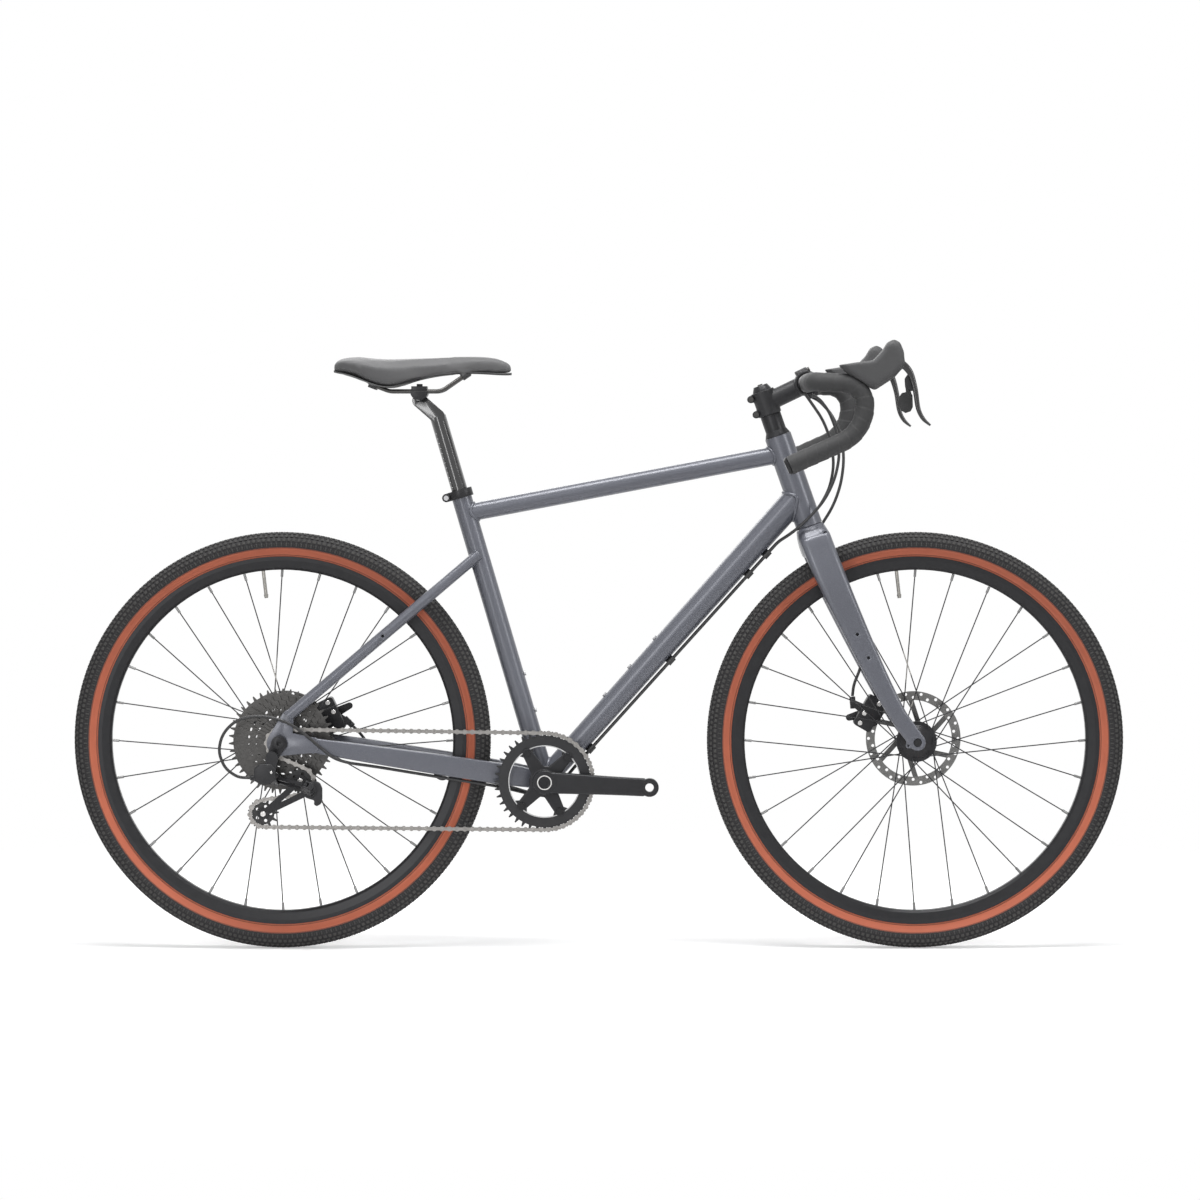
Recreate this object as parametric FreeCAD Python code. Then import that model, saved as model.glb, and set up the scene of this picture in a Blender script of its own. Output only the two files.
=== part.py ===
"""A gravel bike as an assembly of separate pieces, in millimetres.

+X points forward, +Y to the bike's left, +Z up. The origin is on the ground, midway between the axles.
"""
import FreeCAD, Part
import math
import os

V = FreeCAD.Vector
FORWARD = V(1, 0, 0)
LEFT = V(0, 1, 0)
UP = V(0, 0, 1)
FULL_TURN = 360

# Layout of the whole bike
wheelbase = 1062.4
tyre_radius = 350.0
bracket_drop = 66.0
chainstay_length = 445.6
head_angle = 70.6
seat_angle = 73.6
fork_rake = 48.5
fork_length = 399.0

# Fits
running_gap = 0.4
shaft_gap = 0.05
cut_overrun = 6.0

# Head tube, bearings and steerer
head_tube_length = 159.0
head_tube_radius = 22.5
head_tube_bore = 18.5
head_bearing_radius = 20.4
head_bearing_height = 9.0
steerer_radius = 14.3
steerer_wall = 2.2
head_cover_height = 9.6
head_cover_radius = 21.8
spacer_height = 28.0
spacer_radius = 17.5
top_cap_height = 9.5
top_cap_radius = 16.5

# Main tubes of the frame
tube_wall = 1.6
top_tube_seat_height = 466.0
top_tube_head_drop = 31.0
top_tube_radius = 15.0
down_tube_head_rise = 54.0
down_tube_head_radius = 22.0
down_tube_bracket_radius = 18.0
seat_tube_length = 500.0
seat_tube_radius = 16.8
bracket_radius = 21.0
bracket_width = 68.0
bracket_bore = 17.0

# Stays and dropouts
front_hub_width = 100.0
rear_hub_width = 142.0
dropout_thickness = 8.0
dropout_axle_radius = 21.0
dropout_stay_tip_radius = 13.2
dropout_seat_tip_radius = 10.0
chainstay_end_reach = 52.0
chainstay_end_drop = 3.0
seatstay_end_rise = 44.0
seatstay_end_reach = 14.0
chainstay_reach_shares = (0.055, 0.20, 0.46, 0.72, 1.0)
chainstay_half_heights = (16.0, 17.5, 17.0, 15.0, 12.0)
chainstay_half_widths = (6.0, 7.0, 7.0, 6.5, 3.8)
chainstay_offsets = (24.0, 32.0, 46.0, 61.0, 75.0)
chainstay_corner = 3.5
chainstay_wall = 2.2
seatstay_radius = 9.2
seatstay_foot_radius = 7.6
seatstay_top_height = 394.0
seatstay_top_offset = 13.0
seatstay_bend_share = 0.22
seatstay_bend_offset = 36.0
seatstay_bend_radius = 90.0
stay_bridge_radius = 6.0
stay_bridge_share = 0.13
rack_boss_radius = 5.0
rack_boss_length = 4.0
rack_thread_radius = 2.5
rack_boss_share = 0.36

# Seat collar, post and cradle
post_radius = 13.6
post_wall = 2.2
post_insertion = 150.0
post_top_height = 647.0
collar_radius = 20.5
collar_height = 14.0
collar_lug_reach = 9.0
collar_lug_half_width = 7.5
collar_slit = 2.0
collar_bolt_radius = 2.6
collar_bolt_head_radius = 4.2
collar_bolt_head_height = 3.5
cradle_setback = 27.0
cradle_rise = 30.5
cradle_radius = 15.0
cradle_half_width = 26.0
cradle_half_length = 13.0
cradle_plate_height = 8.0
cradle_bolt_radius = 3.0
cradle_bolt_head_radius = 5.0
cradle_bolt_head_height = 4.0
post_head_half_width = 12.0
post_head_radius = 12.0

# Saddle
saddle_length = 296.0
saddle_half_width = 71.0
saddle_rise = 51.0
saddle_rear_overhang = 142.0
saddle_station_shares = (0.0, 0.05, 0.15, 0.27, 0.42, 0.58, 0.76, 0.92, 1.0)
saddle_width_shares = (0.50, 0.80, 0.99, 0.96, 0.66, 0.36, 0.28, 0.23, 0.13)
saddle_top_shares = (0.90, 1.08, 1.05, 0.98, 0.99, 1.02, 1.09, 1.06, 0.84)
saddle_flank_shares = (0.70, 0.64, 0.46, 0.22, 0.36, 0.58, 0.66, 0.62, 0.62)
saddle_crown_share = 0.24
saddle_tuck_share = 0.86
saddle_flank_share = 0.955
saddle_shell_thickness = 4.0
rail_radius = 3.5
rail_half_spacing = 22.0
rail_straight_rear = 50.0
rail_straight_front = 37.0
rail_rear_reach = 27.0
rail_rear_rise = 10.3
rail_front_reach = 40.0
rail_front_rise = 27.4
rail_front_half_spacing = 11.0
rail_bend_radius = 28.0
rail_socket_radius = 6.0
rail_socket_length = 14.0

# Fork
crown_height = 24.0
crown_half_width = 41.0
crown_half_depth = 27.0
crown_corner = 17.0
leg_drop_shares = (0.045, 0.20, 0.42, 0.66, 0.88)
leg_ahead_shares = (0.03, 0.06, 0.21, 0.42, 0.70)
leg_offsets = (27.0, 46.0, 52.0, 55.0, 58.4)
leg_half_depths = (26.0, 25.5, 22.0, 18.0, 14.5)
leg_half_widths = (14.0, 14.0, 11.5, 9.5, 8.0)
leg_corner_share = 0.75
leg_wall = 3.5
fork_tip_radius = 14.0
fork_tip_width = 15.0
fork_eyelet_radius = 4.5
fork_eyelet_thread = 2.5
fork_eyelet_drops = (195.0, 238.0)
mudguard_eyelet_reach = 17.0

# Axles
axle_radius = 6.0
axle_head_radius = 9.0
axle_head_height = 4.0
axle_hex_radius = 3.5
axle_hex_depth = 3.0

# Wheels
rim_edge_radius = 309.0
rim_inner_radius = 286.5
rim_half_width = 12.5
rim_floor_drop = 6.5
rim_lip = 2.0
rim_bed_half_width = 6.0
rim_shoulder_height = 4.0
rim_wall = 1.6
tyre_half_width = 20.0
tyre_wall = 3.0
tyre_bead_gap = 0.2
tyre_bead_height = 5.5
spoke_count = 28
spoke_crosses = 2
spoke_radius = 1.0
spoke_flange_gap = 0.85
spoke_rim_offset = 1.6
nipple_radius = 2.2
nipple_length = 12.0
hub_flange_thickness = 3.0
hub_core_radius = 11.5
hub_end_radius = 9.5
hub_bearing_width = 7.0
hub_bore = 9.0
hub_rotor_seat_radius = 17.0
front_flange_right = -35.5
front_flange_left = 21.5
front_flange_right_radius = 34.0
front_flange_left_radius = 29.0
rear_flange_right = -19.6
rear_flange_left = 36.5
rear_flange_right_radius = 29.0
rear_flange_left_radius = 29.0
spoke_hole_inset = 3.0
valve_radius = 3.0
valve_length = 40.0
valve_lead = 6.4
valve_cap_radius = 4.0
valve_cap_length = 6.0

# Rotors
rotor_radius = 80.0
rotor_band = 15.0
rotor_thickness = 1.8
rotor_hub_radius = 26.0
rotor_arm_radius = 4.2
rotor_arm_count = 6
rotor_arm_sweep = 34.0
rotor_hole_radius = 2.5
rotor_hole_count = 36
rotor_hole_inset = 4.4
rotor_hole_spacing = 6.2
rotor_lock_radius = 20.5
rotor_lock_height = 3.0
front_rotor_offset = 39.0
rear_rotor_offset = 56.0

# Calipers
caliper_radial_place = 86.0
caliper_half_length = 29.0
caliper_half_height = 16.0
caliper_corner_radius = 5.0
caliper_inner_width = 13.0
caliper_outer_width = 17.0
caliper_slot_half_width = 3.0
caliper_slot_clearance = 2.0
pad_thickness = 1.6
pad_half_length = 9.0
pad_corner_radius = 8.0
caliper_arm_length = 34.0
caliper_arm_radius = 9.0
caliper_arm_tip_radius = 5.5
caliper_arm_thickness = 4.0
caliper_pivot_radius = 3.5
caliper_pivot_length = 8.0
caliper_stop_radius = 5.0
caliper_stop_length = 20.0
caliper_stop_reach = 32.0
caliper_stop_width = 11.0
front_caliper_angle = 150.0
front_stop_angle = 148.0
front_stop_lean = 95.0
front_arm_angle = 195.0
rear_caliper_angle = 26.0
rear_stop_angle = -22.0
rear_stop_lean = -45.0
rear_arm_angle = 27.0

# Chain and toothed wheels
chain_pitch = 12.7
chain_front_offset = -48.0
roller_radius = 3.8
roller_bore = 1.85
pin_radius = 1.75
inner_link_half_width = 1.15
inner_plate_thickness = 0.85
link_plate_gap = 0.06
outer_plate_thickness = 0.75
link_radius = 4.1
link_waist_half_height = 2.6
chain_settle_pitches = 2.5
tooth_root_depth = 4.1
tooth_height = 3.4
tooth_root_half = 3.0
tooth_tip_half = 0.9
tooth_thickness = 1.6
chainring_teeth = 40
chainring_thickness = 2.4
chainring_inner_radius = 59.0
chainring_tab_radius = 8.5
bolt_circle_radius = 55.0
chainring_bolt_radius = 4.0
chainring_bolt_head_radius = 5.2
chainring_bolt_head_height = 1.6

# Cassette
sprocket_teeth = (11, 13, 15, 17, 19, 22, 25, 28, 32, 36, 42)
sprocket_pitch = 3.74
smallest_sprocket_offset = -64.0
freehub_radius = 16.4
sprocket_spacer_wall = 3.0
sprocket_band = 7.0
sprocket_window_gap = 2.2
sprocket_window_radius = 5.2
lockring_radius = 15.5
lockring_height = 3.0

# Crankset
crank_length = 175.0
crank_angle = -2.7
spindle_radius = 12.0
cup_flange_radius = 20.5
cup_flange_width = 8.0
cup_insert_length = 12.0
crank_boss_radius = 19.5
crank_boss_outer = 72.0
crank_cap_radius = 10.5
crank_cap_depth = 5.0
crank_ring_radius = 12.2
crank_ring_height = 1.0
arm_reach_shares = (0.04, 0.30, 0.66, 0.95)
arm_offsets = (63.5, 66.0, 68.5, 69.4)
arm_half_thicknesses = (7.5, 7.2, 6.8, 6.6)
arm_half_widths = (18.5, 17.0, 15.6, 15.3)
arm_corner = 5.0
pedal_eye_radius = 15.5
pedal_eye_inner = 62.0
pedal_eye_outer = 76.0
pedal_thread_radius = 7.14
spider_angles = (50.0, 124.0, -131.0, -60.0)
spider_hub_radius = 26.0
spider_root_radius = 13.0
spider_tip_radius = 8.5
spider_root_place = 14.0
spider_thickness = 5.5

# Rear derailleur
hanger_thickness = 6.0
hanger_axle_radius = 13.0
hanger_bolt_radius = 9.0
hanger_reach = -11.0
hanger_drop = 23.0
hanger_nut_radius = 10.0
hanger_nut_height = 3.0
knuckle_radius = 10.5
knuckle_depth = 11.0
cage_pivot_ahead = 50.5
cage_pivot_drop = 80.6
guide_from_pivot_ahead = -16.3
guide_from_pivot_rise = 17.6
tension_from_pivot_ahead = -79.3
tension_from_pivot_rise = -35.4
pulley_teeth = 11
pulley_thickness = 2.2
pulley_bore = 3.0
pulley_hole_radius = 2.6
pulley_hole_count = 5
cage_plate_thickness = 1.6
cage_half_gap = 5.0
cage_guide_radius = 10.0
cage_tension_radius = 9.0
cage_web_radius = 5.0
cage_pivot_radius = 12.5
cage_axle_radius = 4.0
cage_search = 25.0
linkage_rise_angle = 25.0
linkage_slant_angle = 29.6
linkage_swing = 41.5
link_length = 60.0
link_spacing = 14.0
link_eye_radius = 4.6
link_thickness = 4.6
link_room_steps = 4
link_room_share = 0.5
link_half_height = 3.2
link_pin_radius = 2.2
ear_thickness = 3.0
ear_radius = 5.5
linkage_back_start = 6.0
linkage_back_end = 13.0
linkage_base_ahead = -6.0
linkage_base_drop = 61.0
linkage_base_offset = -68.0
pivot_knuckle_radius = 11.0
pivot_knuckle_inner = -71.4
pivot_knuckle_outer = -83.0
pivot_knuckle_web = 8.0
barrel_radius = 4.4
barrel_length = 34.0
barrel_offset = -77.0

# Stem
stem_length = 75.0
stem_rise = 6.1
stem_clamp_height = 42.0
stem_clamp_radius = 19.5
stem_body_radius = 16.0
bar_clamp_radius = 21.0
bar_clamp_half_width = 22.0
faceplate_gap = 1.6
face_bolt_rise = 20.0
face_bolt_side = 14.0
face_ear_radius = 6.0
face_ear_depth = 10.0
face_bolt_radius = 2.5
face_bolt_head_radius = 4.2
face_bolt_head_height = 4.0
pinch_lug_radius = 6.2
pinch_block_reach = 26.0
pinch_block_half_width = 8.0
pinch_slit = 2.0
pinch_bolt_spread = 27.0
pinch_bolt_place = 22.5

# Handlebar, tape and plugs
bar_half_width = 215.0
bar_radius = 11.9
bar_wall = 2.0
bar_centre_radius = 15.9
bar_centre_half_width = 34.0
bar_taper_half_width = 60.0
bar_reach = 84.0
bar_ramp_drop = 4.0
bar_hook_drop = 78.0
bar_tail_reach = 123.0
bar_tail_drop = 55.0
bar_corner_bend = 28.0
bar_ramp_bend = 36.0
bar_hook_bend = 66.0
tape_thickness = 3.6
tape_start = 62.0
plug_length = 5.0

# Hoods, levers and shift paddle
hood_pivot_ahead = 53.5
hood_pivot_rise = 35.0
hood_length = 110.0
hood_height = 84.0
hood_half_width = 17.0
hood_flat_half_width = 9.0
hood_side_share = 0.84
hood_outline_shares = (
    (-0.88, -0.05), (-0.63, 0.0), (-0.37, 0.04), (-0.23, 0.23), (-0.16, 0.39),
    (-0.06, 0.45), (0.03, 0.39), (0.09, 0.20), (0.11, -0.01), (0.08, -0.11),
    (-0.06, -0.30), (-0.34, -0.54), (-0.48, -0.45), (-0.63, -0.34), (-0.77, -0.19),
)
lever_length = 100.0
lever_line_shares = (
    (0.0, 0.0), (0.09, -0.04), (0.20, -0.17), (0.28, -0.43), (0.33, -0.74), (0.41, -0.90), (0.53, -1.0),
)
lever_thickness_shares = (0.075, 0.07, 0.065, 0.055, 0.05, 0.045, 0.03)
lever_half_width = 5.5
lever_root_radius = 9.0
lever_pocket_radius = 16.5
lever_pin_radius = 2.5
paddle_length = 60.0
paddle_outline_shares = (
    (0.19, -0.50), (0.27, -0.48), (0.34, -0.80), (0.41, -0.88), (0.42, -1.20), (0.36, -1.32),
    (0.22, -1.37), (0.10, -1.30), (0.03, -1.12), (0.05, -0.92), (0.12, -0.82), (0.23, -0.80),
)
paddle_thickness = 2.6
paddle_hinge_radius = 2.6
paddle_plate_gap = 1.6
paddle_hinge_shares = ((0.26, -0.50), (0.34, -0.86))

# Bolts on the frame, cable guides and cables
bottle_bolt_radius = 2.5
bottle_bolt_head_radius = 4.2
bottle_bolt_head_height = 2.6
bottle_bolt_length = 9.0
down_tube_bolt_places = (173.0, 236.0, 300.0)
seat_tube_bolt_places = (117.0, 181.0)
guide_half_length = 7.0
guide_radius = 5.2
guide_places = (530.0, 485.0, 290.0, 90.0)
guide_spread = 6.5
guide_lead = 3.0
guide_tail_place = 40.0
cable_radius = 2.5
cable_clearance = 2.4
cord_bend_share = 0.45

# Routes of the cables, chosen by hand; each point is (forward, left, up)
shift_loop_route = (
    (352, -66, 929.7), (367, -54, 922), (383, -43, 902), (397, -36, 868), (402, -33, 828), (394, -31, 788),
    (376, -34, 752), (349, -35, 722), (322, -26, 698),
)
brake_loop_route = (
    (342, -66, 930.6), (354, -48, 915), (374, -25, 888), (390, -3, 850), (395, 16, 809), (388, 26, 772),
    (372, 31, 742), (349, 34, 716), (322, 25, 696),
)
front_hose_route = (
    (352, 66, 929.7), (371, 56, 921), (392, 38, 898), (408, 22, 862), (412, 12, 820), (406, 8, 778),
    (393, 7, 742), (364, 6, 696),
)
shift_rear_route = (
    (-75, -7, 261), (-110, -10, 258.5), (-168, -30, 274.5), (-269, -45.5, 291.5),
    (-370, -60, 309.5), (-418, -70, 317), (-441, -79, 325), (-462, -86, 343), (-484, -90, 363),
    (-510, -93, 383), (-540, -95, 394), (-572, -95, 397), (-603, -93, 389), (-625, -90, 366),
    (-632, -86, 336),
    (-621, -81, 308), (-600, -77.5, 293.3), (-580.2, -77, 292.5),
)
brake_rear_route = (
    (-75, 7, 261), (-110, 10, 258.5), (-168, 30, 274.5), (-269, 45.5, 291.5),
    (-338, 56, 301.5), (-364, 68, 307), (-383, 76, 323), (-397, 77.5, 345), (-407.5, 72, 359),
    (-419, 67.5, 370.5),
)
fork_hose_route = ((449, 52, 500), (443, 48, 470), (431, 49.5, 440), (429, 50.5, 421))


def unit(vector):
    """A copy of a vector with length one."""
    return V(vector).normalize()


def turned(vector, axis, angle):
    """A vector turned about an axis by an angle in degrees."""
    return FreeCAD.Rotation(axis, angle).multVec(vector)


def mirrored(shape):
    """The same shape on the bike's other side."""
    return shape.mirror(V(0, 0, 0), LEFT)


def both_sides(shape):
    """A shape and its mirror image."""
    return [shape, mirrored(shape)]


def joined(shapes):
    """One solid from shapes that overlap."""
    return shapes[0].multiFuse(shapes[1:]).removeSplitter()


def rod(start, end, radius, end_radius=None):
    """A round bar, tapered where an end radius is given."""
    run = end - start
    if end_radius is None:
        return Part.makeCylinder(radius, run.Length, start, run)
    return Part.makeCone(radius, end_radius, run.Length, start, run)


def pipe(start, end, radius, bore):
    """A straight round pipe."""
    return rod(start, end, radius).cut(rod(start, end, bore))


def polygon_face(points):
    """A flat face inside a closed outline."""
    return Part.Face(Part.makePolygon(points + points[:1]))


def lathe(profile, centre):
    """A solid turned about the Y axis through a centre, from (radius, offset) points."""
    points = [centre + V(radius, offset, 0) for radius, offset in profile]
    return polygon_face(points).revolve(centre, LEFT, FULL_TURN)


def disc(centre, radius, start, end):
    """A disc across the bike, between two places along Y."""
    return rod(centre + LEFT * start, centre + LEFT * end, radius)


def link_plate(first, first_radius, second, second_radius, thickness):
    """A flat plate round two discs, drawn along the vector given as its thickness."""
    along = unit(second - first)
    side = unit(thickness.cross(along))
    lean = math.acos((first_radius - second_radius) / (second - first).Length)

    def edge_point(centre, radius, angle):
        return centre + along * (radius * math.cos(angle)) + side * (radius * math.sin(angle))

    start_low = edge_point(first, first_radius, -lean)
    start_high = edge_point(first, first_radius, lean)
    end_low = edge_point(second, second_radius, -lean)
    end_high = edge_point(second, second_radius, lean)
    edges = [
        Part.Arc(start_high, first - along * first_radius, start_low).toShape(),
        Part.LineSegment(start_low, end_low).toShape(),
        Part.Arc(end_low, second + along * second_radius, end_high).toShape(),
        Part.LineSegment(end_high, start_high).toShape(),
    ]
    return Part.Face(Part.Wire(edges)).extrude(thickness)


def rounded_section(centre, across, upward, half_across, half_up, corner):
    """A rectangle with round corners, as a wire."""
    flat_across = half_across - corner
    flat_up = half_up - corner
    slant = corner * math.sqrt(0.5)
    edges = []
    signs = ((1, 1), (-1, 1), (-1, -1), (1, -1))
    ends = []
    for side, top in signs:
        pivot = centre + across * (side * flat_across) + upward * (top * flat_up)
        on_side = pivot + across * (side * corner)
        on_top = pivot + upward * (top * corner)
        middle = pivot + across * (side * slant) + upward * (top * slant)
        if side * top > 0:
            ends.append((on_side, middle, on_top))
        else:
            ends.append((on_top, middle, on_side))
    for index, (begin, middle, finish) in enumerate(ends):
        edges.append(Part.Arc(begin, middle, finish).toShape())
        following = ends[(index + 1) % len(ends)][0]
        edges.append(Part.LineSegment(finish, following).toShape())
    return Part.Wire(edges)


def route_wire(points, bends):
    """Straight runs joined by tangent arcs, one bend radius for each inner point."""
    edges = []
    start = points[0]
    for index, bend in enumerate(bends):
        corner = points[index + 1]
        before = unit(points[index] - corner)
        after = unit(points[index + 2] - corner)
        half_turn = (math.pi - before.getAngle(after)) / 2
        reach = bend * math.tan(half_turn)
        inward = unit(before + after)
        enter = corner + before * reach
        leave = corner + after * reach
        middle = corner + inward * (bend / math.cos(half_turn) - bend)
        edges.append(Part.LineSegment(start, enter).toShape())
        edges.append(Part.Arc(enter, middle, leave).toShape())
        start = leave
    edges.append(Part.LineSegment(start, points[-1]).toShape())
    return Part.Wire(edges)


def swept(points, bends, radius):
    """A round bar bent along a route."""
    path = route_wire(points, bends)
    ring = Part.Wire(Part.Circle(points[0], points[1] - points[0], radius).toShape())
    return path.makePipeShell([ring], True, False)


def cord(points, name):
    """A cable along a route, each bend as large as its runs allow."""
    bends = []
    for before, corner, after in zip(points, points[1:], points[2:]):
        run = min((corner - before).Length, (after - corner).Length)
        half_turn = (corner - before).getAngle(after - corner) / 2
        bends.append(cord_bend_share * run / math.tan(half_turn))
    path = route_wire(points, bends)
    solid = swept(points, bends, cable_radius)
    expected = path.Length * math.pi * cable_radius ** 2
    print(name, "length", round(path.Length), "least bend", round(min(bends), 1),
          "volume share", round(solid.Volume / expected, 4))
    return solid


def route(points):
    """A hand-chosen route as vectors."""
    return [V(*point) for point in points]


# Places worked out from the layout
rear_axle = V(-wheelbase / 2, 0, tyre_radius)
front_axle = V(wheelbase / 2, 0, tyre_radius)
bracket_ahead = math.sqrt(chainstay_length ** 2 - bracket_drop ** 2)
bracket = rear_axle + V(bracket_ahead, 0, -bracket_drop)
steer_up = turned(FORWARD, LEFT, head_angle - 180)
steer_ahead = turned(steer_up, LEFT, 90)
seat_up = turned(FORWARD, LEFT, seat_angle - 180)
seat_ahead = turned(seat_up, LEFT, 90)
crown_seat = front_axle - steer_ahead * fork_rake + steer_up * fork_length
head_low = crown_seat + steer_up * running_gap
head_high = head_low + steer_up * head_tube_length
seat_top = bracket + seat_up * seat_tube_length
top_tube_rear = bracket + seat_up * top_tube_seat_height
top_tube_front = head_high - steer_up * top_tube_head_drop
down_tube_front = head_low + steer_up * down_tube_head_rise
down_run = unit(down_tube_front - bracket)
down_face = turned(down_run, LEFT, 90)
cover_low = head_high + steer_up * running_gap
spacer_low = cover_low + steer_up * head_cover_height
stem_low = spacer_low + steer_up * spacer_height
stem_middle = stem_low + steer_up * (stem_clamp_height / 2)
stem_high = stem_low + steer_up * stem_clamp_height
stem_ahead = turned(steer_ahead, LEFT, -stem_rise)
stem_up = turned(stem_ahead, LEFT, -90)
bar_centre = stem_middle + stem_ahead * stem_length
nodes = {}


def make_main_tubes():
    """Head, top, down and seat tubes with the bracket shell, each mitred to its neighbour."""
    head_solid = rod(head_low, head_high, head_tube_radius)
    head = head_solid.cut(rod(head_low, head_high, head_tube_bore))
    bearings = []
    for end, inward in ((head_low, steer_up), (head_high, -steer_up)):
        floor = end + inward * head_bearing_height
        head = head.cut(rod(end, floor, head_bearing_radius))
        bearings.append(pipe(end, floor, head_bearing_radius, steerer_radius + shaft_gap))
    nodes["head_tube"] = head

    shell_solid = disc(bracket, bracket_radius, -bracket_width / 2, bracket_width / 2)
    nodes["bottom_bracket_shell"] = shell_solid.cut(
        disc(bracket, bracket_bore, -bracket_width / 2, bracket_width / 2))
    for side in (-1, 1):
        inner = side * (bracket_width / 2 - cup_insert_length)
        face = side * bracket_width / 2
        outer = side * (bracket_width / 2 + cup_flange_width)
        cup = disc(bracket, bracket_bore, inner, face).fuse(disc(bracket, cup_flange_radius, face, outer))
        bearings.append(cup.cut(disc(bracket, spindle_radius + shaft_gap, inner, outer)))
    nodes["bearings"] = Part.makeCompound(bearings)

    seat_solid = rod(bracket, seat_top, seat_tube_radius)
    seat = seat_solid.cut(rod(bracket, seat_top, post_radius + shaft_gap)).cut(shell_solid)
    top = rod(top_tube_rear, top_tube_front, top_tube_radius)
    top = top.cut(rod(top_tube_rear, top_tube_front, top_tube_radius - tube_wall))
    nodes["top_tube"] = top.cut(head_solid).cut(seat_solid)
    down = rod(bracket, down_tube_front, down_tube_bracket_radius, down_tube_head_radius)
    down = down.cut(rod(bracket, down_tube_front, down_tube_bracket_radius - tube_wall,
                        down_tube_head_radius - tube_wall))
    down = down.cut(head_solid).cut(shell_solid).cut(seat_solid)
    return head_solid, shell_solid, seat_solid, seat, down


def down_tube_radius_at(place):
    """The down tube's radius at a distance from the bracket."""
    share = place / (down_tube_front - bracket).Length
    return down_tube_bracket_radius + (down_tube_head_radius - down_tube_bracket_radius) * share


def make_frame_bolts(seat, down):
    """Bottle bolts through the down and seat tubes."""
    bolts = []
    for place in down_tube_bolt_places:
        seating = bracket + down_run * place - down_face * down_tube_radius_at(place)
        bolts.append((seating, -down_face))
    for place in seat_tube_bolt_places:
        bolts.append((bracket + seat_up * place + seat_ahead * seat_tube_radius, seat_ahead))
    solids = []
    for seating, outward in bolts:
        tip = seating - outward * bottle_bolt_length
        under_head = seating + outward * shaft_gap
        hole = rod(tip, seating + outward * cut_overrun, bottle_bolt_radius)
        seat = seat.cut(hole)
        down = down.cut(hole)
        shank = rod(tip, under_head, bottle_bolt_radius)
        head = rod(under_head, under_head + outward * bottle_bolt_head_height, bottle_bolt_head_radius)
        solids.append(shank.fuse(head))
    nodes["seat_tube"] = seat
    nodes["down_tube"] = down
    return solids


def make_rear_end(shell_solid, seat_solid):
    """Dropouts, chain stays and seat stays."""
    inner = rear_hub_width / 2
    chain_tip = rear_axle + V(chainstay_end_reach, 0, -chainstay_end_drop)
    seat_tip = rear_axle + V(seatstay_end_reach, 0, seatstay_end_rise)
    thickness = LEFT * dropout_thickness
    base = LEFT * inner
    dropout = joined([
        link_plate(rear_axle + base, dropout_axle_radius, chain_tip + base, dropout_stay_tip_radius,
                   thickness),
        link_plate(rear_axle + base, dropout_axle_radius, seat_tip + base, dropout_seat_tip_radius,
                   thickness),
    ])
    stay_base = LEFT * (inner - dropout_thickness)
    stay_end = link_plate(rear_axle + stay_base, dropout_axle_radius, chain_tip + stay_base,
                          dropout_stay_tip_radius, thickness * 3)
    dropout = dropout.cut(disc(rear_axle, axle_radius, inner - cut_overrun,
                               inner + dropout_thickness + cut_overrun))
    nodes["dropouts"] = Part.makeCompound(both_sides(dropout))

    run = bracket - chain_tip
    skins = []
    for wall in (0, chainstay_wall):
        sections = []
        for index, share in enumerate(chainstay_reach_shares):
            centre = bracket - run * share + LEFT * chainstay_offsets[index]
            upward = turned(unit(run), LEFT, -90)
            sections.append(rounded_section(centre, unit(LEFT), upward, chainstay_half_widths[index] - wall,
                                            chainstay_half_heights[index] - wall, chainstay_corner - wall))
        skins.append(Part.makeLoft(sections, True))
    chainstay = skins[0].cut(skins[1]).cut(shell_solid).cut(seat_solid).cut(stay_end)
    nodes["chain_stays"] = Part.makeCompound(both_sides(chainstay))

    middle = inner + dropout_thickness / 2
    top = bracket + seat_up * seatstay_top_height + LEFT * seatstay_top_offset
    foot = seat_tip + LEFT * middle
    knee = top + (foot - top) * seatstay_bend_share
    knee.y = seatstay_bend_offset
    path = [top, knee, foot]
    stay = swept(path, [seatstay_bend_radius], seatstay_radius)
    hollow = swept(path, [seatstay_bend_radius], seatstay_radius - tube_wall)
    bridge_place = top + (knee - top) * (stay_bridge_share / seatstay_bend_share)
    bridge = rod(V(bridge_place.x, -bridge_place.y, bridge_place.z), bridge_place, stay_bridge_radius)
    boss_place = knee + (foot - knee) * rack_boss_share
    boss_root = boss_place + LEFT * (seatstay_radius - rack_boss_length / 2)
    boss_end = boss_place + LEFT * (seatstay_radius + rack_boss_length)
    boss = rod(boss_root, boss_end, rack_boss_radius).cut(rod(boss_root, boss_end, rack_thread_radius))
    stay_solid = stay
    stay = stay.cut(hollow).cut(rod(boss_root, boss_end, rack_thread_radius))
    stays = [stay.cut(seat_solid).cut(dropout), boss.cut(stay_solid)]
    bridge = bridge.cut(stay_solid).cut(mirrored(stay_solid)).cut(seat_solid)
    solids = [bridge]
    for piece in stays:
        solids += both_sides(piece)
    nodes["seat_stays"] = Part.makeCompound(solids)
    return stay_solid


def make_axle(centre, hub_width, tip_width):
    """A through axle with a flanged head and a hexagon recess."""
    left_face = hub_width / 2 + tip_width
    shank = disc(centre, axle_radius, -left_face, left_face)
    head = disc(centre, axle_head_radius, left_face, left_face + axle_head_height)
    recess = disc(centre, axle_hex_radius, left_face + axle_head_height - axle_hex_depth,
                  left_face + axle_head_height + cut_overrun)
    return shank.fuse(head).cut(recess)


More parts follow.
